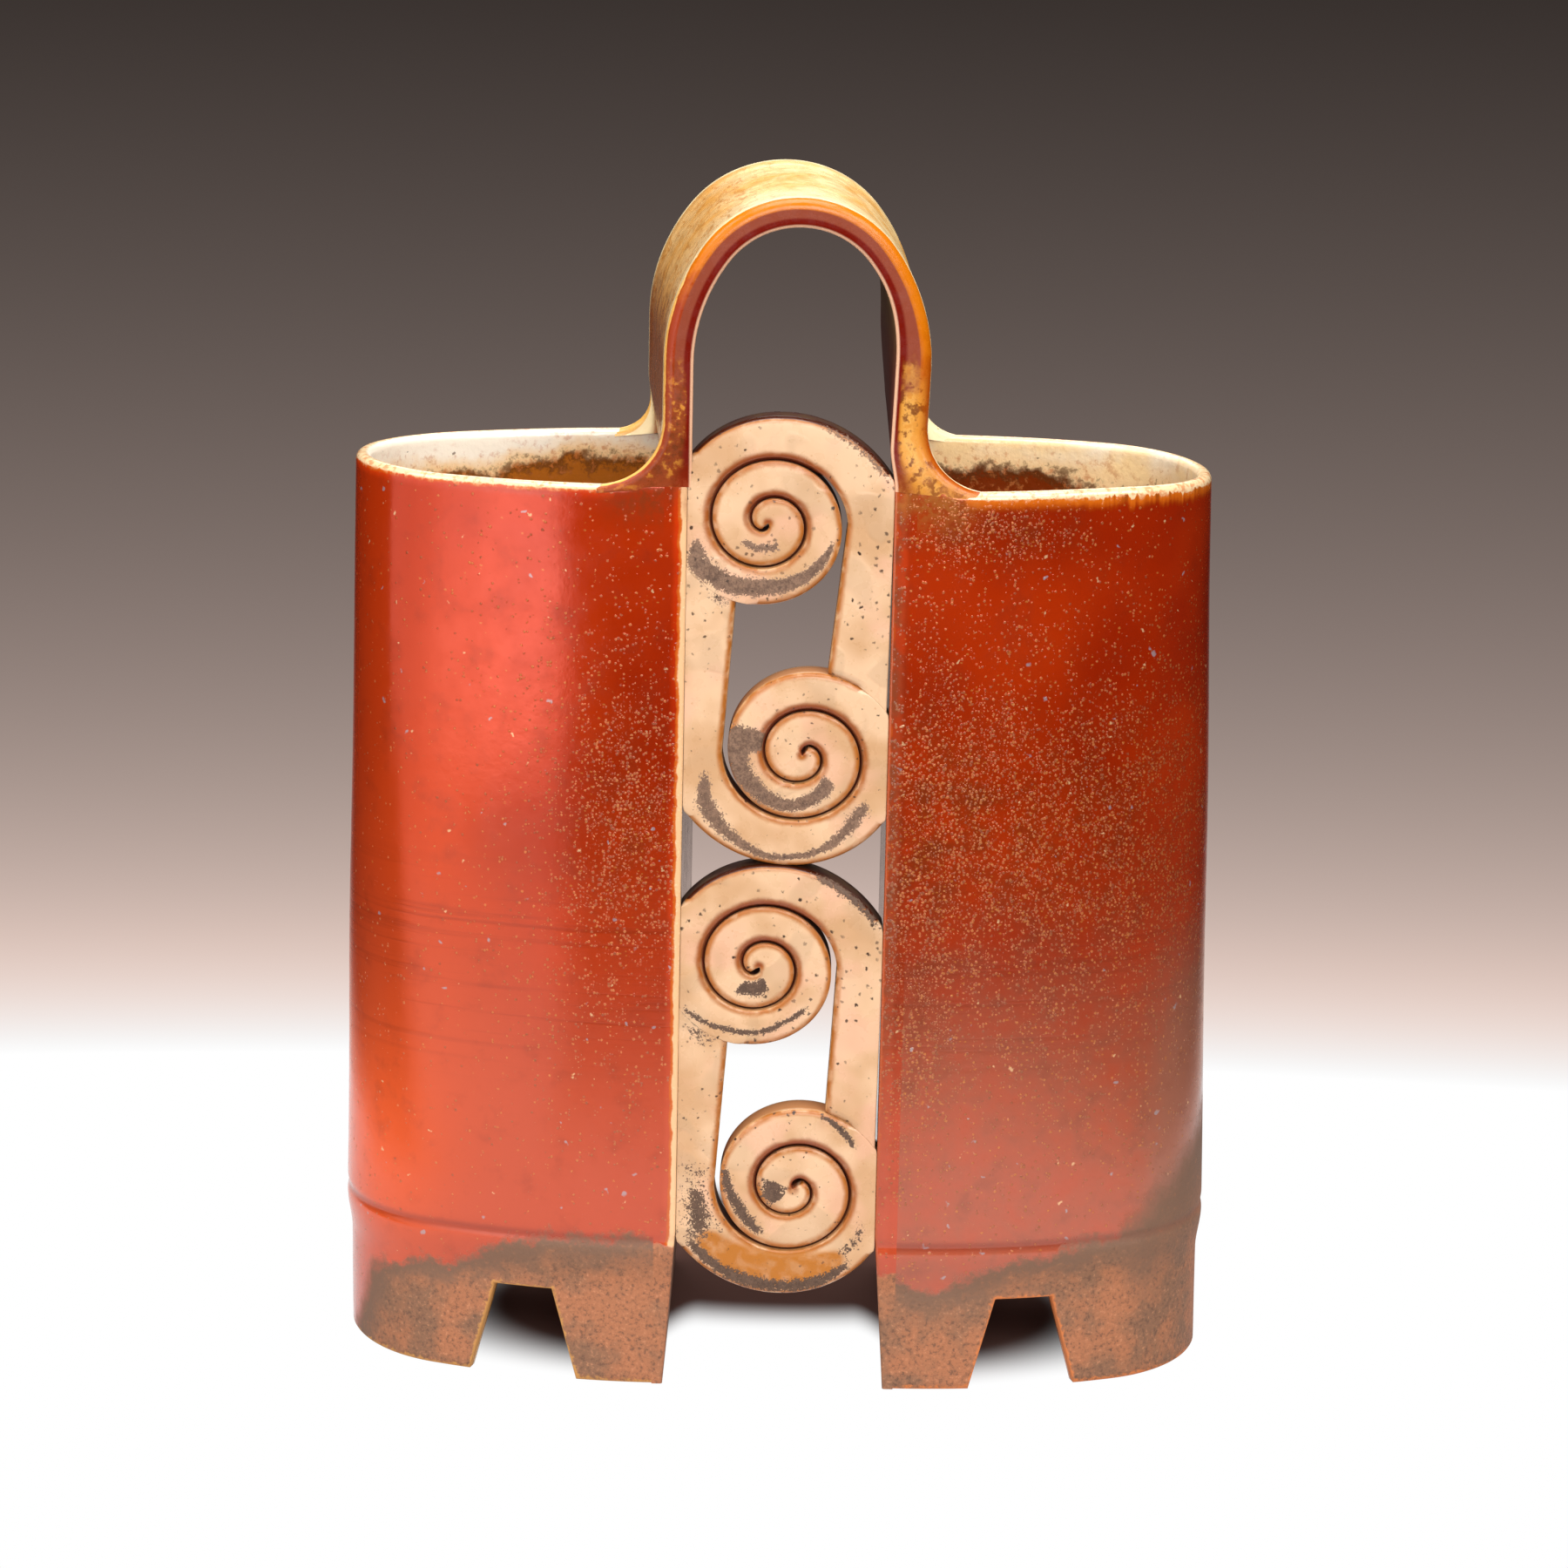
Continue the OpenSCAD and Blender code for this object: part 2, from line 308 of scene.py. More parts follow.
# group: crusty patch where a painted field and grainy noise add up
def makeAshCrust():
    b, (at, field), result = newGroup("ashCrust", {}, ("at", "field"), ("mask", "grain"))
    clumps = b.noise(at, 0.55, 3, 0.65)
    grain = b.noise(at, 1.7, 2, 0.6)
    total = field + (clumps * 0.95 + grain * 1.25)
    strays = b.specks(at, 0.75, field.step(0.02, 0.4) * 0.55, 0.36)
    b.feed(result, {"mask": total.step(1.47, 1.66).most(strays), "grain": b.mix(0.55, grain, clumps)})


redTones = tones(
    deep=(164, 36, 4), warm=(196, 54, 8), low=(194, 77, 44), flush=(244, 94, 34), line=(112, 34, 12),
    smoke=(166, 102, 80), dust=(128, 76, 40), brown=(124, 50, 14), gold=(208, 130, 62), cream=(236, 190, 140),
    frost=(172, 160, 164))


# group: iron red, deeper and clearer above, softer below, with throwing lines and specks of gold and frost
def makeIronRed():
    b, (at, cloud, flush, haze), result = newGroup("ironRed", redTones, ("at", "cloud", "flush", "haze"),
                                                   ("colour", "rough", "height"))
    z = b.split(at)[2]
    broad = b.noise(at, 0.013, 3)
    fine = b.noise(at, 0.11, 4, 0.6)
    rings = b.noise(b.stretch(at, (0.01, 0.01, 0.42)), 1, 3, 0.6)
    ringShare = rings.step(0.5, 0.7, 0, 0.28) * z.step(92, 125) * z.step(178, 150)
    smoke = haze + (fine - 0.5) * 0.5
    share = cloud * fine.step(0.36, 0.64, 0.8, 2.3) + 0.05
    dust = b.specks(at, 1.1, share, 0.55)
    grit = b.specks(b.stretch(at, (-1, 1, 1.4)), 0.62, share * 0.6, 0.32)
    drops = b.specks(at, 0.19, 0.35, 0.12)
    ice = b.specks(b.stretch(at, (1, -1, 1)), 0.15, 0.5, 0.12)
    colour = b.coats(
        b.lay(broad.step(0.36, 0.64), "deep", "warm"),
        ((z + broad * 40).step(226, 90, 0, 0.9), "low"),
        # warm flush: partly the glaze's orange, partly a painted highlight standing in for the left lamps'
        # red reflection
        (flush, "flush"),
        (ringShare, "line"),
        (smoke.step(0.15, 0.95) * haze.step(0, 0.1), "smoke"),
        (fine.step(0.52, 0.76, 0, 0.22), "line"),
        (cloud * fine.step(0.3, 0.7, 0.2, 0.8), "brown"),
        (dust * 0.65, b.lay(dust["draw"], "dust", "gold")),
        (grit * 0.6, "gold"),
        (drops * 0.8, "cream"),
        (ice * 0.7, "frost"))
    b.feed(result, {"colour": colour, "rough": fine.step(0.3, 0.7, 0.13, 0.21) + dust * 0.2,
                    "height": fine * 0.35 + dust * 0.3 + ringShare * -0.3})


clayTones = tones(tan=(172, 108, 70), toast=(136, 94, 66), dark=(90, 60, 42), pale=(206, 142, 102))


# group: bare clay, toasted by the fire, with coarse grain
def makeToastedClay():
    b, (at,), result = newGroup("toastedClay", clayTones, ("at",), ("colour", "height"))
    broad = b.noise(at, 0.06, 4, 0.6)
    grain = b.noise(at, 0.75, 4, 0.7)
    pits = b.specks(at, 0.45, 0.2, 0.26)
    colour = b.coats(
        b.lay(broad.step(0.38, 0.6), "toast", "tan"),
        (grain.step(0.5, 0.34, 0, 0.7), "dark"),
        (grain.step(0.55, 0.7, 0, 0.6), "pale"),
        (pits * 0.6, "dark"))
    b.feed(result, {"colour": colour, "height": grain - pits * 0.4})


linerTones = tones(
    deep=(56, 32, 14), brown=(174, 98, 26), straw=(248, 208, 154), cream=(255, 243, 222), russet=(120, 44, 8),
    honey=(255, 218, 160), spot=(84, 48, 20), rust=(196, 112, 56))


# group: glaze inside the vessels, cream at the rim, then straw, brown and deep brown further down
def makeLinerGlaze():
    b, (at,), result = newGroup("linerGlaze", linerTones, ("at",), ("colour", "height"))
    x, z = b.split(at)[::2]
    slow = b.noise(at, 0.035, 4, 0.55)
    quick = b.noise(at, 0.3, 3, 0.6)
    blots = b.noise(at, 0.34, 4, 0.68)
    right = x.step(-1, 1)
    slope = x.step(-80, -115, 0, 4.5) + right * x.step(100, 50, 0, -3)
    level = z + (slow * 24 + quick * 5) + slope
    ragged = level + (blots - 0.5) * 16
    colour = b.coats(
        b.lay(level.step(225, 280), "deep", b.lay(right, "brown", "russet")),
        (level.step(291, 294), "straw"),
        (level.step(293.5, 301), b.lay(right * slow.step(0.36, 0.6, 0.25, 1), "cream", "honey")),
        (ragged.step(288, 291) * ragged.step(294.5, 291.5, 0, 0.7), "spot"),
        (blots.step(0.52, 0.68, 0, 0.6) * level.step(308, 294), "rust"),
        (b.specks(at, 0.3, 0.22, 0.16) * 0.7, "spot"))
    b.feed(result, {"colour": colour, "height": quick})


creamTones = tones(
    sand=(206, 162, 120), cream=(229, 190, 152), blush=(231, 179, 149), pool=(192, 159, 125),
    tan=(190, 130, 80))


# group: cream glaze with sandy and pink drifts and pooled patches
def makeCreamGlaze():
    b, (at,), result = newGroup("creamGlaze", creamTones, ("at",), ("colour", "height"))
    broad = b.noise(at, 0.05, 2)
    pool = b.noise(at, 0.06, 1, 0.4, 0.6)
    drift = b.noise(b.stretch(at, (1, 1, -1)), 0.06, 2)
    colour = b.coats(
        b.lay(broad.step(0.36, 0.62), "sand", "cream"),
        (drift.step(0.5, 0.7, 0, 0.6), "blush"),
        (pool.step(0.55, 0.64, 0, 0.36), "pool"),
        (b.specks(at, 0.8, 0.06, 0.3) * 0.4, "tan"))
    b.feed(result, {"colour": colour, "height": pool.step(0.55, 0.63) + b.noise(at, 0.35, 2) * 0.5})


for makeGroup in (makeSpecks, makeAshCrust, makeIronRed, makeToastedClay, makeLinerGlaze, makeCreamGlaze):
    makeGroup()
print("glaze groups made:", len(bpy.data.node_groups))


# plan of the right vessel: the normal turns from the front (0) to the back (pi),
# round the flank arc's centre, the end arc's centre and the other flank arc's centre
def planPoint(turn, off):
    front, back = turn < seamTurn, turn > math.pi - seamTurn
    cx = np.where(front | back, jointX, endX)
    cy = np.where(front, flankY, np.where(back, -flankY, 0))
    r = np.where(front | back, flankR, endR) + off
    return cx + r * np.sin(turn), cy - r * np.cos(turn)


# outer face of the wall, measured out from the crease line: foot band, swell to the crease, straight lean
def wallOut(z):
    swell = smooth((z - vessel["foot"]) / (crease - vessel["foot"]))
    leaning = -lean * (z - crease) / (rim - crease)
    groove = vessel["grooveDepth"] * np.exp(-((z - crease - vessel["grooveUp"]) / vessel["grooveReach"]) ** 2)
    return np.where(z < crease, -vessel["footIn"] * (1 - swell), leaning) - groove


# inner face: upright below the floor, then leaning to the thickness of the lip
def wallIn(z):
    up = np.clip((z - vessel["floorTop"]) / (rim - vessel["floorTop"]), 0, 1)
    return -vessel["innerIn"] - (lean + vessel["lip"] - vessel["innerIn"]) * up


# slow swells of hand-built clay, between 0 and 1: three waves over turn and height
def handSwell(turn, z, seed):
    a = np.sin(3.1 * turn + 0.021 * z + seed) + np.sin(5.3 * turn - 0.034 * z + 2.1 * seed)
    b = np.sin(0.055 * z + 1.7 * turn + 3.3 * seed)
    return 0.5 + (a + b) / 6


slipTones = tones(left=(150, 62, 26), right=(182, 108, 48))      # slip where handle and walls are luted
redGloss = {"ior": 1.65, "lustre": 0.32, "bareRough": 0.72, "relief": 0.45}
shellLook = {
    "notchX": 80.5, "notchTop": 9.25, "notchFoot": 17.5, "notchH": 30,
    "edge": 0.9,                  # rounding of cut edges
    "swell": 0.7,                 # depth of the hand-built swells
    "swellSeed": {"left": 4.1, "right": 1.3},
    "rimWave": 0.5, "lipSquare": 0.85,
    "backLower": 18,              # dust and flush sit lower on the back
    "tipShift": {"left": (0, -1.3), "right": (-1.15, -5)},   # tip's sideways lean at table and rim
    # golden dust, and warm flush that is partly the glaze's orange and partly a painted highlight for the
    # left lamps' red sheen: strength, middle x and z, reach in x and z
    "dust": {"left": ((0.5, 47, 185, 15, 34), (0.2, 55, 170, 30, 80)),
             "right": ((0.5, 52, 195, 22, 24), (0.48, 92, 182, 48, 40), (0.7, 60, 277, 28, 9),
                       (0.3, 80, 160, 80, 80), (0.5, 42, 150, 10, 80))},
    "flush": {"left": ((0.85, 134, 72, 22, 36), (0.32, 112, 150, 34, 90)), "right": ()},
    "haze": {"left": 0, "right": 1},
    "drips": {"left": 0, "right": 1},
    "warmLip": {"left": 0, "right": 0.35},
    "softFrom": {"left": 38, "right": 16},     # turn from which the glaze line is hazy
    **tones(greyEdge=(122, 88, 66), cutGold=(204, 146, 74), cutOrange=(216, 124, 62),
            lipCream=(240, 208, 160), lipOrange=(208, 106, 22), lipRust=(216, 136, 84),
            dripGap=(92, 48, 18), creaseRed=(122, 32, 12)),
}
cutSteps = np.array([0, 0.25, 0.6, 1])     # rows and columns beside a cut edge


# colour of the slip, which differs between the sides
def slipColour(b, onRight):
    return b.lay(onRight, slipTones["left"], slipTones["right"])


# gloss of the red glaze where it covers the clay, less lustrous near the foot
def setRedGloss(b, shader, covered, z):
    lustre = covered * redGloss["lustre"] * z.step(60, 150, 0.4, 1)
    b.feed(shader, {"IOR": redGloss["ior"], "Metallic": lustre})


# shell: red outside, bare clay at the foot, cream lip with orange under it, liner inside
def makeShellGlaze():
    material, b, shader, at = newGlaze("redShellGlaze", shellLook)
    x, z = b.split(at)[::2]
    bare, softLine, lip, inside, cut = b.fields("bare", "softLine", "fromLip", "inside", "cutEdge")
    drips, warmLip, underFoot = b.fields("drips", "warmLip", "underFoot")
    dust, flush, haze = b.fields("dust", "flush", "haze")
    red = b.place("ironRed", at=at, cloud=dust, flush=flush, haze=haze)
    clay = b.place("toastedClay", at=at)
    liner = b.place("linerGlaze", at=at)
    fringe = b.noise(at, 0.1, 4, 0.6)
    frayed = b.noise(at, 0.5, 3, 0.6)
    columns = b.noise(b.stretch(at, (0.32, 0.32, 0.04)), 1, 2)
    edge = (bare + (fringe - 0.5) * 16 + (frayed - 0.5) * 7) / softLine
    isBare = edge.step(-2.6, 2.6)
    isInside = inside.step(0.55, 0.75)
    onRight = x.step(-1, 1)
    ground = b.coats(
        "greyEdge", (edge.step(2, 14), clay["colour"]), (frayed.step(0.55, 0.7, 0, 0.4), clay["colour"]))
    fromGroove = abs(z - (crease + vessel["grooveUp"]))
    run = (columns - 0.5) * drips * 8 + (frayed - 0.5) * 1.6
    below = lip - run - warmLip * 2
    gaps = drips * columns.step(0.5, 0.42) * lip.step(4.5, 2.5)
    worn = (cut + (frayed - 0.5) * 1.2).step(0.5, 0.8, 0, 0.9)
    colour = b.coats(
        red["colour"],
        (isBare, ground),
        (fromGroove.step(2.4, 0.3, 0, 0.45) * isBare.step(1, 0, 0.35, 1), "creaseRed"),
        (below.step(6, 2, 0, 0.95) * warmLip * 2.5, "lipOrange"),
        (below.step(3, 1.6) * fringe.step(0.36, 0.6, 0.2, 0.9), "lipOrange"),
        (gaps * 0.6, "dripGap"),
        (below.step(1.9, 1.3), "lipCream"),
        (below.step(2.6, 1.6) * frayed.step(0.48, 0.64, 0, 0.8), "lipRust"),
        (underFoot * frayed.step(0.36, 0.6, 0.35, 0.9), slipColour(b, onRight)),
        (isInside, liner["colour"]),
        (worn, b.lay(onRight, "cutGold", "cutOrange")))
    setRedGloss(b, shader, (1 - isBare) * (1 - isInside) * below.step(2.5, 5), z)
    rough = b.mix(isInside, b.mix(isBare, red["rough"], redGloss["bareRough"]), 0.2)
    height = b.mix(isInside, b.mix(isBare, red["height"], clay["height"]), liner["height"])
    finishGlaze(b, shader, colour, rough, height, redGloss["relief"])
    return material


# heights of the rows on one face of the wall, closer at the foot, the notch's top and the crease
def wallHeights():
    top = shellLook["notchH"]
    return np.concatenate([
        [0, 0.2, 0.7], between(2.5, top - 1, 12), top + cutSteps, between(top + 2.5, 43, 8),
        between(44, 52, 13), between(54.5, 284, 84), between(285.5, rim - halfLip, 3)])


# curved wall: grid of turn (columns) by the closed section up the outside, over the lip and down the inside
def buildShell(side, glaze):
    look, s = shellLook, sideSign[side]
    xc, w0, w1, h = (look[k] for k in ("notchX", "notchTop", "notchFoot", "notchH"))
    seamX = jointX + flankR * vessel["seam"][0]
    flankX = np.concatenate([
        between(jointX, xc - w0 - 1, 17)[:-1], (xc - w0 - cutSteps)[::-1],
        between(xc - w0, xc + w0, 10)[1:-1], xc + w0 + cutSteps, between(xc + w0 + 1, seamX, 14)[1:]])
    flank = np.arcsin((flankX - jointX) / flankR)
    endTurns = between(seamTurn, math.pi - seamTurn, 74)[1:-1]
    turn = np.concatenate([flank, endTurns, math.pi - flank[::-1]])[None, :]
    onFlank, x0 = joinStretches((True, flankX), (False, np.full(len(endTurns), 1e3)), (True, flankX[::-1]))
    zs = wallHeights()
    n, cols = len(zs), turn.size

    # the lip is half round, and squared where the handle's flares stand on it
    atFront = turn < halfPi
    square = smooth((jointX + np.where(atFront, 13, 9) - x0) / np.where(atFront, 5, 4))
    arc = between(0, math.pi, 11)[1:-1, None]
    sharp = 1 - look["lipSquare"] * square
    lipZ = rim - halfLip + halfLip * np.sin(arc) ** sharp
    lipOff = -lean - halfLip + halfLip * np.sign(np.cos(arc)) * np.abs(np.cos(arc)) ** sharp
    level = np.zeros((n, cols))
    z = np.concatenate([zs[:, None] + level, lipZ, zs[::-1, None] + level])
    off = np.concatenate([wallOut(zs)[:, None] + level, lipOff, wallIn(zs[::-1])[:, None] + level])
    inside = np.concatenate([np.zeros(n), arc[:, 0] / math.pi, np.ones(n)])[:, None]

    # columns beside a notch slant with its sides, and cut edges are rounded
    reach = np.where(x0 > xc, (seamX - x0) / (seamX - xc - w0), (x0 - jointX) / (xc - w0 - jointX))
    slant = (w1 - w0) * np.clip(1 - z / h, 0, 1) * np.sign(x0 - xc) * np.clip(reach, 0, 1) * onFlank
    slantTurn = np.arcsin(np.clip((x0 + slant - jointX) / flankR, -1, 1))
    turn = np.where(onFlank, np.where(atFront, slantTurn, math.pi - slantTurn), turn)
    fromNotch = np.hypot(np.clip(np.abs(x0 - xc) - w0, 0, None), np.clip(z - h, 0, None))
    fromCut = np.minimum(fromNotch, z)
    pull = roundOff(fromCut, look["edge"])
    awayFromJoint = smooth(np.sin(turn) / 0.35)
    swell = look["swell"] * handSwell(turn, z, look["swellSeed"][side]) * awayFromJoint
    out, y = planPoint(turn, off - swell - np.where(inside < 0.5, 1, -1) * pull)
    lift = look["rimWave"] * np.sin(2.3 * turn + s) * awayFromJoint * smooth((z - 230) / 60)
    low, high = look["tipShift"][side]
    x = s * out + (low + (high - low) * z / rim) * smooth((out - jointX) / (tipX - jointX))

    # cells inside the notches are left out, and strips close notches, foot and ends
    rows = len(z)
    index = np.arange(rows * cols).reshape(rows, cols)
    mirrored = index[::-1]
    cellZ = np.minimum(z[:-1, :1], z[1:, :1])
    notch = np.flatnonzero(np.abs(flankX - xc) <= w0 + 1e-6)
    inNotch = np.zeros(cols - 1, bool)
    inNotch[notch[0]:notch[-1]] = True
    inNotch |= inNotch[::-1]
    quads = [gridQuads(rows, cols).reshape(rows - 1, cols - 1, 4)[~((cellZ < h - 1e-6) & inNotch)]]
    quads.append(strip(index[0], index[-1])[~inNotch])
    top = int(np.flatnonzero(np.abs(zs - h) < 1e-6)[0])
    for first, last in ((notch[0], notch[-1]), (cols - 1 - notch[-1], cols - 1 - notch[0])):
        outer, inner = (np.concatenate([i[:top, first], i[top, first:last + 1], i[:top, last][::-1]])
                        for i in (index, mirrored))
        quads.append(strip(outer, inner))
    for col in (0, cols - 1):
        quads.append(strip(index[:n, col], mirrored[:n, col]))
        quads.append(strip(index[n - 1:n + 5, col], mirrored[n - 1:n + 5, col]))

    # fields that the glaze reads
    degrees = np.degrees(turn)
    fromSeam = np.minimum(degrees, 180 - degrees)
    seenZ = z + look["backLower"] * smooth((y + 20) / 60)
    endwards = smooth((fromSeam - 22) / 48)
    flare = np.where(y < 0, 16, 11)            # the flares carry the lip on
    fields = {
        "inside": inside,
        "cutEdge": np.exp(-fromCut / 2),
        "fromLip": np.clip(rim - z, 0, None) + 9 * smooth((jointX + flare - out) / 5),
        "bare": np.interp(degrees, *zip(*vessel["glazeLine"][side])) - z,
        "dust": blooms(look["dust"][side], out, seenZ),
        "flush": blooms(look["flush"][side], out, seenZ),
        "haze": look["haze"][side] * (endwards * smooth((165 - z) / 95) + 0.56 * smooth((205 - z) / 105)),
        "drips": look["drips"][side] * smooth((degrees - 12) / 8) * smooth((75 - degrees) / 30),
        "warmLip": look["warmLip"][side],
        "underFoot": smooth((jointX + 24 - out) / 14) * smooth((z - rim + 17) / 15) * (inside < 0.5),
        "softLine": 1 + 2.5 * smooth((fromSeam - look["softFrom"][side]) / 22),
    }
    grid = np.stack([x, y, z + lift], -1)
    clayPiece(side + "ShellGlazed", grid, fields, side + "_shell", glaze, np.concatenate(quads))


shellGlaze = makeShellGlaze()
for side in sideSign:
    buildShell(side, shellGlaze)

slabLook = {
    "corner": 0.9, "wave": 0.35,
    "bow": {"left": 4, "right": 0},        # how far the gap's face falls back behind the handle
    **tones(gapBrown=(98, 66, 46), gapDark=(58, 32, 20), leftStrip=(236, 190, 142), leftBorder=(200, 96, 30),
            rightLine=(176, 74, 26), rightStrip=(118, 68, 42)),
}


# slab: red runs round on to its outer edges, a strip of thick glaze stands along the corner,
# and the face towards the gap is painted dark brown, a painted shade between the walls
def makeSlabGlaze():
    material, b, shader, at = newGlaze("innerWallGlaze", slabLook)
    x, z = b.split(at)[::2]
    bare, gapFace, inside, fromGap, dust = b.fields("bare", "gapFace", "inside", "fromGap", "dust")
    red = b.place("ironRed", at=at, cloud=dust, flush=0, haze=0)
    clay = b.place("toastedClay", at=at)
    liner = b.place("linerGlaze", at=at)
    fringe = b.noise(at, 0.16, 4, 0.6)
    mottle = b.noise(at, 0.07, 4, 0.6)
    wander = (fringe - 0.5) * 2.4
    reach = fromGap + wander
    edge = bare + wander * 4
    isBare = edge.step(-0.9, 1.1)
    onRight = x.step(-1, 1)
    leftEdge = b.coats(
        red["colour"], (reach.step(3, 2.2), "leftBorder"), (reach.step(2.1, 1.5), "leftStrip"))
    grey = reach.step(6.5, 1.5, 0, 0.75) * fringe.step(0.35, 0.6, 0.4, 1) * z.step(60, 150, 0.2, 1)
    rightEdge = b.coats(red["colour"], (grey, "rightStrip"), (reach.step(1.2, 0.5), "rightLine"))
    slip = (z + wander * 3).step(279, 290) * fringe.step(0.36, 0.64, 0.2, 0.8)
    # painted shade: the face towards the gap is mottled dark brown, with clay where it is bare
    gapColour = b.coats(
        b.lay(mottle.step(0.38, 0.62), "gapDark", "gapBrown"), (edge.step(-2, 6, 0, 0.8), clay["colour"]))
    colour = b.coats(
        b.lay(onRight, leftEdge, rightEdge),
        (slip, slipColour(b, onRight)),
        (isBare, clay["colour"]),
        (gapFace.step(0.45, 0.8), gapColour),
        (inside.step(0.4, 0.6), liner["colour"]))
    setRedGloss(b, shader, (1 - isBare) * gapFace.step(0.5, 0.1) * reach.step(3, 5), z)
    rough = b.mix(isBare, red["rough"], redGloss["bareRough"])
    height = b.mix(isBare, red["height"], clay["height"])
    finishGlaze(b, shader, colour, rough, height, redGloss["relief"])
    return material


# flat wall: a rectangle with rounded corners on the gap's side, carried up the height
def buildSlab(side, glaze):
    s, r = sideSign[side], slabLook["corner"]
    z = np.concatenate([wallHeights(), [rim - 1, rim]])[:, None]
    ease, across = between(0, 1, 7), between(-1, 1, 41)[1:-1]
    fallX, fallY = r * (1 - np.sin(ease * halfPi)), r * (1 - np.cos(ease * halfPi))
    # along the outline: share of x, rounding in x, share of y, rounding in y, on the gap's face, inside
    fx, rx, fy, ry, gapFace, inside = joinStretches(
        (1 - ease, r * ease, -1, 0, 0, 0),                     # front edge
        (0, fallX[1:], -1, fallY[1:], ease[1:] ** 2, 0),         # front corner
        (0, 0, across, 0, 1, 0),                             # gap's face
        (0, fallY, 1, -fallX, (1 - ease) ** 2, 0),               # back corner
        (ease[1:], r * (1 - ease[1:]), 1, 0, 0, 0),            # back edge
        (1, 0, across[::-1], 0, 0, 1))                       # face inside the vessel
    wave = slabLook["wave"] * smooth(z / 60) * smooth((rim - z) / 60) * np.sin(0.05 * z + s) * (1 - fy ** 2)
    bow = slabLook["bow"][side] * smooth((z - 225) / 65) * smooth((fy + 0.4) / 1.2)
    face = halfGap + vessel["heelCut"] * np.clip(1 - z / vessel["heelTop"], 0, 1) + wave + bow
    x = np.minimum(face + (jointX - face) * fx + rx, jointX)
    yOut = halfDepth + wallOut(z)
    y = np.where(np.abs(fy) < 1, yOut - r, yOut) * fy + ry
    line = vessel["glazeLine"][side]
    fields = {
        "gapFace": gapFace, "inside": inside, "fromGap": x - face,
        "bare": np.where(y < 0, line[0][1], line[-1][1]) - z,
        "dust": blooms(shellLook["dust"][side], x, z),
    }
    clayPiece(side + "InnerWallGlazed", np.stack([s * x, y, z + 0 * x], -1), fields, side + "_inner_wall",
              glaze, capped=True)


slabGlaze = makeSlabGlaze()
for side in sideSign:
    buildSlab(side, slabGlaze)

floorLook = {"dish": 1.5, "edge": 1, "clear": 0.05}


# floor: the liner on top, bare clay underneath
def makeFloorGlaze():
    material, b, shader, at = newGlaze("floorGlaze", floorLook)
    under = b.split(at)[2].step(vessel["floorUnder"] + 2, vessel["floorUnder"] + 0.5)
    clay = b.place("toastedClay", at=at)
    colour = b.lay(under, b.place("linerGlaze", at=at)["colour"], clay["colour"])
    finishGlaze(b, shader, colour, under.step(0, 1, 0.25, 0.75), clay["height"], 0.3, 0.4)
    return material


# floor slab: the inside outline drawn in to its middle on top, round the edge and in again underneath
def buildFloor(side, glaze):
    flank = between(0, seamTurn, 24)
    ends = between(seamTurn, math.pi - seamTurn, 60)[1:-1]
    ox, oy = planPoint(np.concatenate([flank, ends, math.pi - flank[::-1]]), -vessel["innerIn"])
    ox, oy = joinStretches((ox, oy), (jointX, between(oy[-1], oy[0], 42)[1:-1]))
    middleX = (jointX + tipX) / 2 - 5
    top, under, clear = vessel["floorTop"], vessel["floorUnder"], floorLook["clear"]
    rise, edge, fall = between(0, 0.97, 14), np.array([0.985, 0.995, 1]), between(0.97, 0, 8)
    drop = floorLook["edge"] * np.array([0.2, 0.5, 1])
    share, z = joinStretches(
        (rise, top - floorLook["dish"] * (1 - rise ** 2) - clear), (edge, top - drop),
        (edge[::-1], under + drop[::-1]), (fall, under + clear))
    share, z = share[:, None], z[:, None]
    x, y = middleX + (ox - middleX) * share, oy * share
    clayPiece(side + "FloorGlazed", np.stack([sideSign[side] * x, y, z + 0 * x], -1), {}, side + "_floor",
              glaze)


floorGlaze = makeFloorGlaze()
for side in sideSign:
    buildFloor(side, floorGlaze)

handleLook = {
    "top": 378.4, "strap": 9, "width": 108, "spread": 25, "crown": (0.8, 0.6),
    "turn": 3, "shift": -1.5,
    "splay": {"left": -3.6, "right": 1.8},     # how far the legs open towards the back
    "edge": 3.2, "innerEdge": 1.5,
    "flare": {"front": 20, "back": 14},
    "bead": 0.5, "beadAt": 42,               # raised edge on the outer face
    "thickLeg": 2, "ior": 1.42,
    "flushUp": 20,                # height over the rims on which the feet come flush with the walls
    "tipSink": 0.25, "wave": 0.35, "waveRun": 17, "waveIn": 0.3,
    "bands": (0.18, 0.86),        # where the edge's face begins and ends across the strap's edge
    **tones(gold=(246, 180, 88), cream=(255, 220, 156), hatch=(192, 118, 44), legBrown=(136, 62, 26),
            leftGold=(212, 142, 60), ridge=(255, 230, 178), orange=(204, 110, 4), red=(156, 50, 4),
            mauve=(140, 66, 46), deepRed=(112, 16, 2), pale=(238, 186, 150), legGold=(222, 150, 56),
            legRust=(138, 62, 26), spot=(104, 50, 16), legCream=(242, 184, 96), gapDark=(104, 36, 12),
            gapOlive=(112, 80, 36)),
}
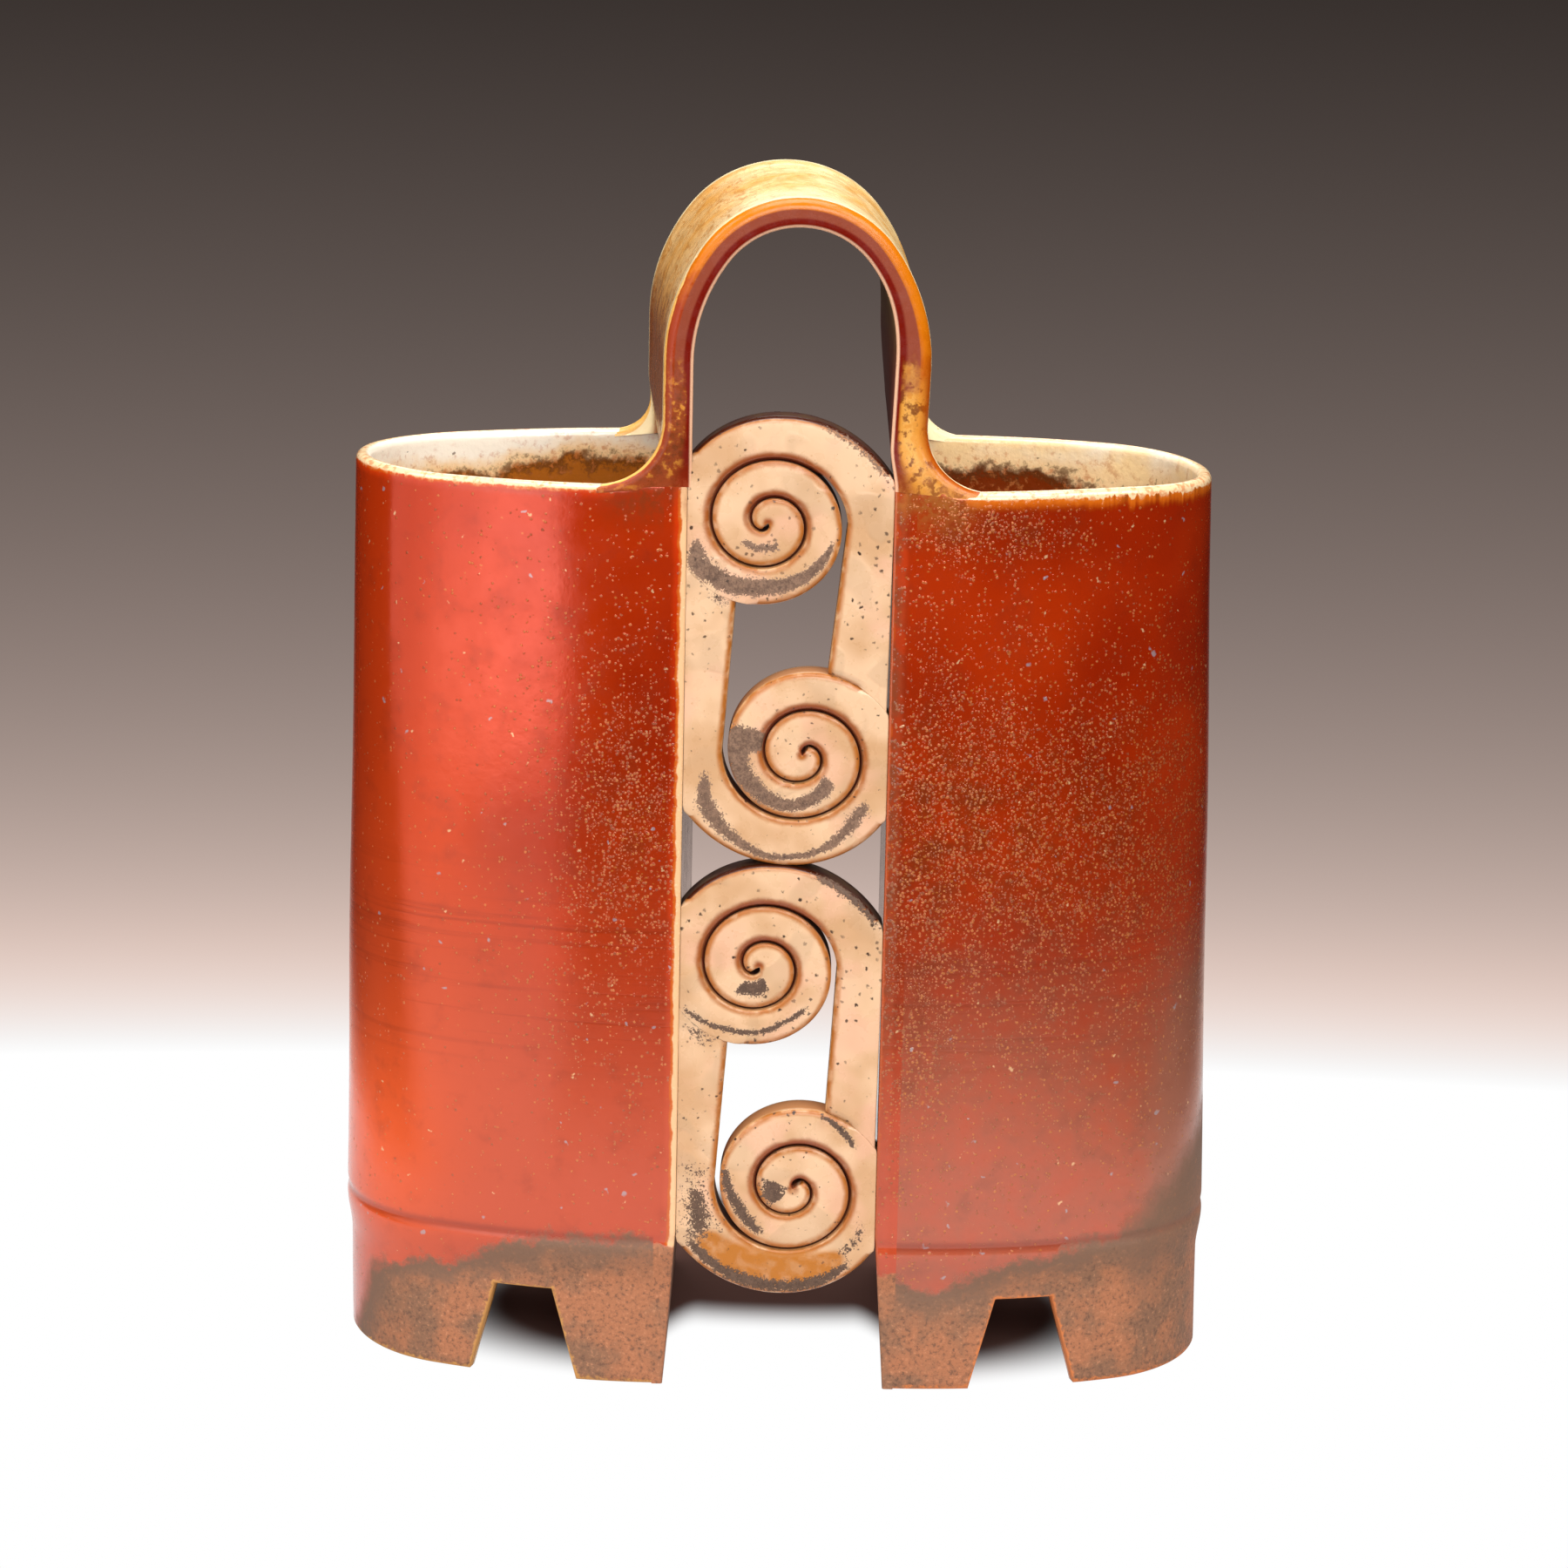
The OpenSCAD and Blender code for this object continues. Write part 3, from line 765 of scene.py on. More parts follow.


# handle: ochre streaked along the strap outside with a painted highlight towards the front and on the crest,
# banded edge with a painted reflection in its mauve band, mottled legs with painted cream glints on the
# right, dark towards the gap with a painted olive reflection at the top
def makeHandleGlaze():
    material, b, shader, at = newGlaze("ochreHandleGlaze", handleLook)
    x, y, z = b.split(at)
    across, outer, path, border = b.fields("edgePos", "outerFace", "alongStrap", "border")
    strapAt = b.put("CombineXYZ", {0: path, 1: y, 2: 0})
    fringe = b.noise(at, 0.2, 4, 0.6)
    clumps = b.noise(at, 0.34, 4, 0.6)
    streak = b.noise(b.stretch(strapAt, (0.09, 0.05, 1)), 1, 3, 0.55, 0.6)
    scratch = b.noise(b.stretch(strapAt, (0.45, 0.1, 1)), 1, 4, 0.7, 1)
    off = fringe - 0.5
    down = z + off * 26
    place = across + off * 0.05
    face = b.coats(
        b.lay(streak.step(0.3, 0.68), "gold", "cream"),
        # painted highlight: the outer face turns pale towards the front and along its border with the crest
        ((y + off * 30).step(-12, -44, 0, 0.9), "ridge"),
        (scratch.step(0.5, 0.64) * x.step(0, -26, 0.15, 0.75), "hatch"),
        (x.step(-8, -32, 0, 0.55), "leftGold"),
        (down.step(354, 326, 0, 0.9), "legBrown"),
        (border.step(0.35, 0.8), "ridge"))
    onRight = x.step(-6, 6)
    leg = b.coats(
        b.lay(onRight, "legRust", "legGold"),
        # painted cream glints down the middle of the right leg's edge, partly the glaze's cream
        (onRight * place.step(0.25, 0.42) * place.step(0.75, 0.55) * 0.6, "legCream"),
        (clumps.step(0.5, 0.38, 0, 0.85), "spot"),
        (clumps.step(0.53, 0.64, 0, 0.8), "legGold"))
    left = x.step(-12, -26) * down.step(362, 345)
    low = left.most(down.step(342, 322, 0, 0.7))
    slip = down.step(302, 288) * fringe.step(0.38, 0.62, 0.2, 0.85) * place.step(0.05, 0.2)
    edge = b.coats(
        # the crest: a painted highlight
        b.lay(left, "ridge", "legCream"),
        ((place - left * 0.05).step(0.012, 0.035), b.lay(low, "orange", "red")),
        # mauve band: dark red glaze with a painted reflection of the softbox on it
        (place.step(0.15, 0.24), "mauve"),
        (place.step(0.56, 0.7), "deepRed"),
        (down.step(332, 316, 0, 0.85) * place.step(0.04, 0.2) * place.step(0.84, 0.68), leg),
        (slip, slipColour(b, onRight)),
        (across.step(0.87, 0.92), "pale"))
    onGap = across.step(0.955, 0.99)
    colour = b.coats(
        edge,
        (outer.step(0.4, 0.9), face),
        # face towards the gap: dark brown, with olive at the top as a painted reflection
        (onGap, b.lay(down.step(320, 346), "gapDark", "gapOlive")),
        (b.specks(at, 0.25, 0.25, 0.16) * 0.6, "spot"))
    b.feed(shader, {"IOR": "ior"})
    rough = b.mix(onGap, fringe.step(0.3, 0.7, 0.2, 0.34), 0.9)
    finishGlaze(b, shader, colour, rough, fringe * 0.5 + outer * streak * 0.5, 0.5)
    return material


# strap: its section is carried up a leg, over a three-centred arch and down the other leg,
# and near the rims the outer corners of the section run out into flared feet
def buildHandle(glaze):
    look = handleLook
    t, halfW, ri = look["strap"] / 2, look["width"] / 2, look["innerEdge"]
    archX = halfGap + t
    sideR = archX + look["spread"] * look["crown"][0]
    crownR = sideR - look["spread"]
    crownZ = look["top"] - t - crownR
    springZ = crownZ - look["spread"] * look["crown"][1]
    meet = math.atan2(look["crown"][1], look["crown"][0])
    flareTop = max(look["flare"].values()) + 2

    # path from the right rim to the left rim: middle line and its outward direction
    legZ = np.concatenate([rim + flareTop * between(0, 1, 26), between(rim + flareTop, springZ, 9)[1:-1]])
    side, crown = between(0, meet, 18), between(meet, math.pi - meet, 40)[1:-1]
    quarterX, quarterZ, quarterA = joinStretches(
        (archX, legZ, 0), (archX - sideR + sideR * np.cos(side), springZ + sideR * np.sin(side), side))
    px, pz, pa = (line[:, None] for line in joinStretches(
        (quarterX, quarterZ, quarterA), (crownR * np.cos(crown), crownZ + crownR * np.sin(crown), crown),
        (-quarterX[::-1], quarterZ[::-1], math.pi - quarterA[::-1])))
    nx, nz = np.cos(pa), np.sin(pa)
    run = np.concatenate([[0], np.cumsum(np.hypot(np.diff(px[:, 0]), np.diff(pz[:, 0])))])[:, None]
    s = np.where(px > 0, 1, -1)
    turn = math.radians(look["turn"])
    cosTurn, sinTurn = math.cos(turn), math.sin(turn)

    # point that stands off the middle line by n, at the depth y, on the turned strap
    def stand(n, y):
        x, z = px + n * nx, pz + n * nz
        return np.stack([x * cosTurn - y * sinTurn + look["shift"], x * sinTurn + y * cosTurn, z + 0 * y], -1)

    # strips of the section: points, place across the strap's edge from 0 outside to 1 inside,
    # on the border, on the outer face
    up = pz - rim
    onLeg = up <= flareTop + 1e-6
    rc = np.where(onLeg, halfLip + (look["edge"] - halfLip) * smooth(up / flareTop), look["edge"])
    reachY = halfW - 2 * look["edge"] - 4
    ease = between(0, 1, 7)
    begin, finish = look["bands"]
    parts = {}
    for end, ys in (("front", -1), ("back", 1)):
        r = look["flare"][end]
        phi = np.where(onLeg, np.clip(up / r, 0, 1), 1) * halfPi
        sinPhi, cosPhi = np.sin(phi), np.cos(phi)
        flared = phi < halfPi - 1e-6
        centre = stand(t - rc, ys * (halfW - rc))      # of the corner's rounding, first on the plain strap
        centre[..., 0] += np.where(flared, s * (1 - sinPhi) * (r + rc), 0)
        crestZ = rim + r * (1 - cosPhi) - rc * cosPhi - look["tipSink"] * (1 - sinPhi) ** 4
        centre[..., 2] = np.where(flared, crestZ, centre[..., 2])
        dirX = np.where(flared, s * sinPhi, nx * cosTurn)
        dirZ = np.where(flared, cosPhi, nz)
        opening = halfPi * np.sqrt(np.clip(1 - sinPhi, 0, 1))
        beta = np.concatenate([halfPi * (ease - 1) + 0 * phi, opening * ease[1:]], 1)
        bend = np.stack([dirX * np.cos(beta), -ys * np.sin(beta), dirZ * np.cos(beta)], -1)
        crest = centre + rc[..., None] * bend          # from the edge's face over the crest to the outer face
        last, foot = crest[:, -1:], stand(t, ys * reachY)
        bent = np.stack([foot[..., 0], last[..., 1], (last[..., 2] + foot[..., 2]) / 2], -1)
        knee = np.where(flared[..., None], bent, last)
        q = between(0, 1, 9)[1:-1, None]
        curve = (1 - q) ** 2 * last + 2 * q * (1 - q) * knee + q ** 2 * foot
        arc = between(0, halfPi, 6)
        inner = stand(-t + ri * (1 - np.sin(arc)), ys * (halfW - ri + ri * np.cos(arc)))
        q = between(0, 1, 12)[1:-1]
        face = (1 - q[:, None]) * crest[:, :1] + q[:, None] * inner[:, :1]
        parts[end + "Crest"] = crest, np.concatenate([begin * (1 - ease), 0 * ease[1:]]), 1, 0
        parts[end + "Side"] = curve, 0, (1 - ease) ** 0.5, 1
        parts[end + "Inner"] = inner, between(finish, 1, 6), 0, 0
        parts[end + "Face"] = face, begin + (finish - begin) * q, 0, 0
    y = between(-1, 1, 43) * reachY
    bead = look["bead"] * (np.exp(-((np.abs(y) - look["beadAt"]) / 3) ** 2) - 1)
    parts["outer"] = stand(t + bead * smooth(up / 40), y), 0, 0, 1
    parts["gapSide"] = stand(-t, between(-1, 1, 45)[1:-1] * (halfW - ri)), 1, 0, 0
    order = (("frontInner", -1), ("frontFace", -1), ("frontCrest", 1), ("frontSide", 1), ("outer", 1),
             ("backSide", -1), ("backCrest", -1), ("backFace", 1), ("backInner", 1), ("gapSide", -1))
    # each strip as its x, y, z and marks, laid in the order of the section
    strips = []
    for part, way in order:
        points, *marks = parts[part]
        strips.append([v[..., ::way] for v in np.broadcast_arrays(*np.moveaxis(points, -1, 0), *marks)])
    x, y, z, place, border, isOuter = joinStretches(*strips)

    # the strap's feet come flush with the walls below, and the flares follow the curve of the rims
    edge = smooth((np.abs(y) - 38) / 12)
    low = 1 - smooth((z - rim) / look["flushUp"])
    lipY = halfDepth - lean
    toFlush = np.where(y < 0, -lipY - stand(0, -halfW)[..., 1], lipY - stand(0, halfW)[..., 1])
    rimR = flankR - lean
    follow = np.sign(y) * (rimR - np.sqrt(rimR ** 2 - np.clip(np.abs(x) - jointX, 0, 60) ** 2))
    y = y + edge * (low * toFlush - np.where(z < rim + look["flushUp"], follow, 0))
    splay = np.where(x < 0, look["splay"]["left"], look["splay"]["right"]) * np.clip(np.abs(px) / archX, 0, 1)
    backwards = np.clip((y + halfW) / look["width"], 0, 1)
    x = x + splay * backwards * smooth((z - rim + 4) / np.where(x < 0, 24, 60))
    # the right leg comes straight above its wall at the foot and is thicker towards the gap
    straighten = np.where(x > 20, 1 - smooth((z - rim) / 45), 0)
    x = x + straighten * (y * sinTurn - look["shift"])
    inwards = smooth((place - 0.2) / 0.6) * smooth((356 - z) / 30) * smooth((z - rim) / 14) * (px > 20)
    x = x - look["thickLeg"] * inwards
    wave = look["wave"] * np.sin(run / look["waveRun"]) - look["waveIn"]
    y = y + wave * smooth((z - rim - 15) / 30) * np.sign(y) * edge
    fields = {"edgePos": place, "outerFace": isOuter, "alongStrap": run, "border": border}
    grid = np.stack([x, y, z], -1)
    clayPiece("strapHandleGlazed", grid, fields, "handle", glaze, capped=True)


buildHandle(makeHandleGlaze())

scrollLook = {
    "unitH": 140.2, "unitZ": 31.7, "thick": 12, "setBack": 0.6,
    # coils of the right and the left crooks
    "pitch": 12.4, "coilR": (23.7, 24.3), "eyeX": (6.8, 5.2), "eyeZ": (37.4, 35), "thicker": (0, 1.9),
    "squash": 0.95, "slot": 1.05, "mouth": 0.8, "mouthTurn": 50, "shoulder": 8, "shoulderTurn": 50,
    "slotEnd": 600, "eyeClose": 70, "thinTurn": 270, "legFrom": 210,
    "round": 1.6, "slotRound": 0.75, "wallRound": 0.35, "backRound": 0.9, "endRound": 1.2, "crown": 0.35,
    **tones(ochre=(176, 104, 38), rimGlow=(236, 190, 136), slotRed=(132, 54, 24), arch=(182, 110, 30),
            crust=(100, 74, 58), crustPale=(140, 108, 86), speck=(66, 46, 34), sideBrown=(72, 28, 10),
            sideOlive=(84, 52, 22), sideCream=(184, 122, 70), slotSide=(172, 70, 30)),
}
panelLean = math.atan2(lean, rim - crease)

# unit from below, hand (0 right, 1 left), turn at the leg's end, rounding of the leg's tip,
# turn at the eye, turns between which the other crook's leg is luted on
crooks = {
    "upper_right_scroll": (1, 0, 255, 1.2, 950, (200, 264)),
    "upper_left_scroll": (1, 1, 250, 0, 955, (196, 232)),
    "lower_right_scroll": (0, 0, 250, 1.2, 940, (200, 262)),
    "lower_left_scroll": (0, 1, 250, 0, 935, (196, 232)),
}

# crusted strokes on the crooks: strength, then turn (leg from -100 to 0), share of the width, half width
crusts = {
    "upper_right_scroll": (
        (1, ((198, 0.67, 0.2), (215, 0.67, 0.24), (270, 0.48, 0.2), (320, 0.66, 0.12), (340, 0.75, 0.06))),
        (0.7, ((580, 0.45, 0.1), (655, 0.55, 0.12))),
        (0.5, ((22, 0.92, 0.06), (45, 0.9, 0.09), (62, 0.93, 0.06)))),
    "upper_left_scroll": (
        (0.6, ((-100, 0.3, 0.25), (-96, 0.3, 0.2))),
        (1, ((338, 0.75, 0.26), (360, 0.75, 0.3), (395, 0.65, 0.22), (436, 0.65, 0.16), (494, 0.35, 0.2))),
        (0.9, ((332, 0.15, 0.3), (352, 0.22, 0.3))),
        (0.85, ((14, 0.5, 0.12), (35, 0.62, 0.15), (73, 0.84, 0.06), (99, 0.74, 0.07), (131, 0.42, 0.15),
                (140, 0.4, 0.12)))),
    "lower_right_scroll": (
        (0.75, ((215, 0.85, 0.07), (241, 0.66, 0.08), (270, 0.61, 0.08), (295, 0.53, 0.09),
                (318, 0.6, 0.07))),
        (0.9, ((590, 0.42, 0.2), (650, 0.42, 0.2))),
        (0.7, ((24, 0.92, 0.07), (60, 0.92, 0.1)))),
    "lower_left_scroll": (
        (0.45, ((-100, 0.5, 0.3), (-92, 0.5, 0.25))),
        (0.8, ((345, 0.85, 0.12), (380, 0.6, 0.18), (415, 0.66, 0.14))),
        (0.9, ((220, 0.6, 0.07), (234, 0.73, 0.08), (248, 0.88, 0.06))),
        (0.8, ((700, 0.5, 0.35), (760, 0.6, 0.3))),
        (0.4, ((5, 0.45, 0.16), (25, 0.5, 0.18))),
        (0.34, ((-14, 0.55, 0.4), (34, 0.5, 0.45))),
        (0.6, ((126, 0.5, 0.1), (150, 0.5, 0.12))),
        (0.85, ((36, 0.8, 0.08), (60, 0.8, 0.13), (105, 0.8, 0.13), (122, 0.78, 0.08)))),
}
goldenArch = {
    "lower_left_scroll": ((1, ((34, 0.5, 0.16), (60, 0.45, 0.26), (100, 0.45, 0.26), (120, 0.5, 0.16))),),
}


# strength of strokes over turn and width: soft ridges along their lines that fade at both ends
def strokes(lines, turn, w):
    total = 0 * w
    for strength, line in lines:
        turns, middles, halves = zip(*line)
        ends = smooth((turn - turns[0] + 10) / 14) * smooth((turns[-1] + 10 - turn) / 14)
        reach = 1.3 * np.interp(turn, turns, halves)
        total = total + strength * ends * np.exp(-((w - np.interp(turn, turns, middles)) / reach) ** 2)
    return total


# scroll: cream face with a painted highlight along the rims, an ochre line inside them, a painted shade in
# red-brown by the slots that is partly pooled glaze, crusted strokes and dark sides
def makeScrollGlaze():
    material, b, shader, at = newGlaze("creamScrollGlaze", scrollLook)
    inner, outer, front, slotEdge = b.fields("fromInner", "fromOuter", "frontFace", "slotEdge")
    slotAcross, darkRim, darkSide, golden, marks = b.fields(
        "slotAcross", "darkRim", "darkSide", "goldenArch", "crust")
    cream = b.place("creamGlaze", at=at)
    crust = b.place("ashCrust", at=at, field=marks)
    wobble = b.noise(at, 0.24, 3)
    drift = wobble - 0.5
    rimDist = inner.least(outer) + drift * 1.6
    isSide = front.step(0.7, 0.2)
    crustColour = b.coats(
        "crust", (crust["grain"].step(0.4, 0.62), "crustPale"),
        (b.split(at)[2].step(176, 160, 0, 0.6), "speck"))
    strewn = b.noise(at, 0.045, 2).step(0.42, 0.62, 0.2, 1)
    specks = b.specks(at, 0.42, strewn, 0.26)
    sideColour = b.coats(
        b.lay(wobble.step(0.35, 0.65), "sideBrown", "sideOlive"),
        (darkSide.step(0.8, 0.1), "sideCream"),
        (slotEdge * inner.step(2, 1), "slotSide"))
    colour = b.coats(
        cream["colour"],
        (rimDist.step(2.4, 0.8) * wobble.step(0.3, 0.55, 0.5, 1), "ochre"),
        # painted highlight: the rounded rims made pale as if they catch the light
        (rimDist.step(0.5, 0, 0, 0.4), "rimGlow"),
        # painted shade by the slots, partly pooled glaze: red-brown on the slot's upper side and across its
        # other edge
        (slotEdge * (inner + drift * 1.6).step(2.9, 0.3), "slotRed"),
        (slotAcross * (outer + drift).step(0.8, 0.1, 0, 0.4), "slotRed"),
        (darkRim * outer.step(0.9, 0.5), "sideBrown"),
        (golden.step(0.02, 0.5) * wobble.step(0.3, 0.55, 0.7, 1), "arch"),
        (crust, crustColour),
        (specks * specks["draw"].step(0, 1, 0.5, 1), "speck"),
        (isSide, sideColour))
    rough = b.mix(isSide, wobble.step(0.3, 0.7, 0.24, 0.36) + crust * 0.4, 0.8)
    finishGlaze(b, shader, colour, rough, cream["height"] * 0.4 + crust * crust["grain"], 0.5)
    return material


# radius of the slot's middle line: one pitch less with every turn
def slotR(turn, hand):
    return scrollLook["coilR"][hand] - scrollLook["pitch"] * turn / 360


# outer edge of the band at a turn: the slot one turn earlier, thicker at the shoulder, less the slot itself
def bandR(turn, hand):
    look = scrollLook
    arch = look["thicker"][hand] * np.sin(np.radians(np.clip(turn, 0, 180)))
    ramp = np.clip((turn - look["thinTurn"]) / (360 - look["thinTurn"]), 0, 1)
    mouth = look["mouth"] * np.exp(-((turn - 360) / look["mouthTurn"]) ** 2)
    shoulder = look["shoulder"] * np.exp(-turn / look["shoulderTurn"])
    return slotR(turn - 360, hand) + arch + shoulder - look["slot"] / 2 * ramp - mouth


# point of a coil at a radius and turn, kept between the walls and inside the unit
def coilPoint(r, turn, hand):
    look, a = scrollLook, np.radians(turn)
    x = -look["eyeX"][hand] + r * np.cos(a)
    z = look["eyeZ"][hand] + look["squash"] * r * np.sin(a)
    return np.clip(x, -halfGap, halfGap), np.clip(z, -look["unitH"] / 2, look["unitH"] / 2)


# crook: a rounded band section carried up the leg, over the arch and round the coil to its eye
def buildCrook(node, glaze, unit, hand, legTo, tipRound, eyeTurn, luted):
    look = scrollLook
    legRows, coilRows, eyeRows = 34, 171, 72
    slotEnd, thick = look["slotEnd"], look["thick"]
    leg, turns = (line[:, None] for line in joinStretches(
        (between(0, 1, legRows + 1)[:-1], 0), (1, between(0, slotEnd, coilRows)),
        (1, between(slotEnd, eyeTurn, eyeRows)[1:])))
    closing = np.clip(1 - (turns - slotEnd) / look["eyeClose"], 0, 1)
    rIn = (slotR(np.minimum(turns, slotEnd), hand) + look["slot"] / 2) * closing
    rOut = bandR(turns, hand)
    inX, inZ = coilPoint(rIn, turns, hand)
    outX, outZ = coilPoint(rOut, turns, hand)

    # point of the band at a share of its width: on the coil, or between the tip and the shoulder on the leg
    def across(w):
        tipTurn = legTo + (look["legFrom"] - legTo) * w
        footX, footZ = coilPoint(bandR(tipTurn, 1 - hand), tipTurn, 1 - hand)
        x, z = inX + (outX - inX) * w, inZ + (outZ - inZ) * w
        return x * leg - footX * (1 - leg), z * leg - footZ * (1 - leg)

    ax, az = across(0)
    bx, bz = across(1)
    width = np.hypot(bx - ax, bz - az)
    againstWall = smooth((np.abs(bx) - halfGap + 1.5) / 1.5)
    joined = smooth((turns - luted[0]) / 7) * smooth((luted[1] - turns) / 7) * (leg > 0.999)
    held = np.maximum(againstWall, joined)
    rOuter = look["round"] + (look["slotRound"] - look["round"]) * smooth((turns - 300) / 50)
    rOuter = rOuter + (look["wallRound"] - rOuter) * held
    rInner = look["slotRound"] + (look["round"] - look["slotRound"]) * (1 - smooth(turns / 30))
    rInner = np.minimum(np.minimum(rInner, 0.6 * rIn), 0.45 * width)
    rOuter = np.minimum(rOuter, 0.45 * width)
    rBackOut = np.minimum(look["backRound"], 0.3 * width)
    rBackIn = np.where(rIn > 0.1, rBackOut, 0)
    arc, backArc = between(0, halfPi, 7), between(0, halfPi, 4)
    flat, back = between(0, 1, 13)[1:-1], between(0, 1, 9)[1:-1]
    wall = np.array([0.2, 0.45, 0.72, 0.86])
    # section: place across the band, depth behind the face, on the front, on the back
    a, d, front, behind = joinStretches(
        (rInner * (1 - np.cos(arc)), rInner * (1 - np.sin(arc)), 1, 0),
        (rInner + (width - rInner - rOuter) * flat, 0, 1, 0),
        (width - rOuter * (1 - np.sin(arc)), rOuter * (1 - np.cos(arc)), 1, 0),
        (width, rOuter + (thick - rBackOut - rOuter) * wall, 0, 0),
        (width - rBackOut * (1 - np.cos(backArc)), thick - rBackOut * (1 - np.sin(backArc)), 0, 1),
        (width - rBackOut - (width - rBackOut - rBackIn) * back, thick, 0, 1),
        (rBackIn * (1 - np.sin(backArc)), thick - rBackIn * (1 - np.cos(backArc)), 0, 1),
        (0, thick - rBackIn - (thick - rBackIn - rInner) * wall, 0, 0))
    # a web of clay on the inner side closes the slots behind their edges, apart from their open mouths
    web = (look["slot"] + 0.1) * smooth((turns - 36) / 18) * smooth((slotEnd - 8 - turns) / 20)
    a[:, -3:] -= web * np.array([1, 1, 0.4])
    w = a / np.maximum(width, 1e-6)
    outerHalf = w > 0.5
    fall = np.clip(width / 10, 0, 1) * look["crown"] * np.abs(2 * w - 1) ** 3 * (1 - held * outerHalf)
    fall = fall * np.where(w < 0.5, smooth(rIn / 1.5), 1)
    fromTip = leg * np.hypot(inX[legRows] - ax[0], inZ[legRows] - az[0])
    tipFall = roundOff(fromTip, max(tipRound, 1e-9)) * (1 - smooth((w - 0.4) / 0.25))
    fromEnd = np.radians(eyeTurn - turns) * np.maximum(rOut, 1) * 0.6
    endFall = roundOff(fromEnd, look["endRound"]) * smooth(w / 0.4)      # the eye stays one point
    d = np.minimum(d + (fall + tipFall + endFall) * front, thick)
    x, z = across(np.minimum(w, 1))
    s = 1 - 2 * hand                           # left crooks are the right ones turned upside down
    h = look["unitZ"] + (unit + 0.5) * look["unitH"] + s * z - crease
    y = look["setBack"] - halfDepth + d * math.cos(panelLean) + h * math.sin(panelLean)
    z = crease + h * math.cos(panelLean) - d * math.sin(panelLean)

    # how dark the band's sides are: the arch and the slots more than the coil's outside and the legs
    outerDark = np.where(leg < 1, 0.4, 1 - 0.9 * smooth((turns - 175) / 20) * smooth((345 - turns) / 15))
    innerDark = np.where(leg < 1, 0.3, smooth(turns / 20))
    path = turns + (leg - 1) * 100 + 0 * w
    fields = {
        "fromInner": a, "fromOuter": width - a + 9 * held * outerHalf,
        "darkSide": np.where(outerHalf, outerDark, innerDark),
        "frontFace": np.maximum(front, behind),
        # slotAcross and slotEdge mask the painted shade by the slots; slotEdge is stronger on the slot's
        # upper side
        "slotAcross": smooth((turns - 350) / 25),
        "slotEdge": smooth(turns / 45) * (0.46 + 0.44 * s * np.sin(np.radians(turns))),
        "darkRim": (1 - hand) * smooth((turns - 4) / 12) * smooth((172 - turns) / 12),
        "crust": np.clip(strokes(crusts[node], path, w), 0, 1) * front,
        "goldenArch": strokes(goldenArch.get(node, ()), path, w) * front,
    }
    first, *rest = node.split("_")
    name = first + "".join(word.capitalize() for word in rest) + "Glazed"
    clayPiece(name, np.stack([s * x, y, z], -1), fields, node, glaze, capped=True)


scrollGlaze = makeScrollGlaze()
for node, crook in crooks.items():
    buildCrook(node, scrollGlaze, *crook)

scene = bpy.context.scene
scene.view_settings.view_transform = "Standard"


# matrix of an object at a place, from its axes to the right, upwards and backwards
def standing(at, right, above, back):
    return Matrix.Translation(at) @ Matrix(np.stack([right, above, back], -1).tolist()).to_4x4()


# camera where the photograph was taken from
shot = {"at": (11, -1380.2, 536.2), "pitch": 14.312, "yaw": -0.487, "roll": 1.232,
        "focal": 5090.5, "image": 1800, "sensor": 36}      # focal and image in pixels
pitch, yaw, roll = (math.radians(shot[k]) for k in ("pitch", "yaw", "roll"))
ahead = np.array([math.sin(yaw) * math.cos(pitch), math.cos(yaw) * math.cos(pitch), -math.sin(pitch)])
level = np.array([math.cos(yaw), -math.sin(yaw), 0])
upright = np.cross(level, ahead)
lens = bpy.data.cameras.new("photoCamera")
lens.sensor_width = shot["sensor"]
lens.sensor_fit = "HORIZONTAL"
lens.lens = shot["sensor"] * shot["focal"] / shot["image"]
camera = bpy.data.objects.new("photoCamera", lens)
right = math.cos(roll) * level + math.sin(roll) * upright
above = math.cos(roll) * upright - math.sin(roll) * level
camera.matrix_world = standing([v * mm for v in shot["at"]], right, above, -ahead)
scene.collection.objects.link(camera)
scene.camera = camera

# pale table that darkens away from the vase, as under a lamp; from here on sizes are in metres
tableLook = {
    "half": 9, "points": 13,
    "pool": 0.186, "near": 0.1, "narrow": 0.35,            # reach of the bright pool round the vase
    "under": (0.125, 0.065), "behind": (0.066, 0.014),     # lit and shaded patch under the vase
    "lit": (1, 1, 1, 1), "far": (1.29, 1, 0.89, 1),
    "shade": (0.17, 0.09, 0.075), "bounce": (0.5, 0.45, 0.42),
}
line = between(-1, 1, tableLook["points"]) ** 3 * tableLook["half"]
tx, ty = np.meshgrid(line, line)
tableMesh = bpy.data.meshes.new("studioTable")
tableMesh.from_pydata(np.stack([tx, ty, 0 * tx], -1).reshape(-1, 3).tolist(), [],
                      gridQuads(len(line), len(line)).tolist())
studioTable = bpy.data.objects.new("studioTable", tableMesh)
scene.collection.objects.link(studioTable)


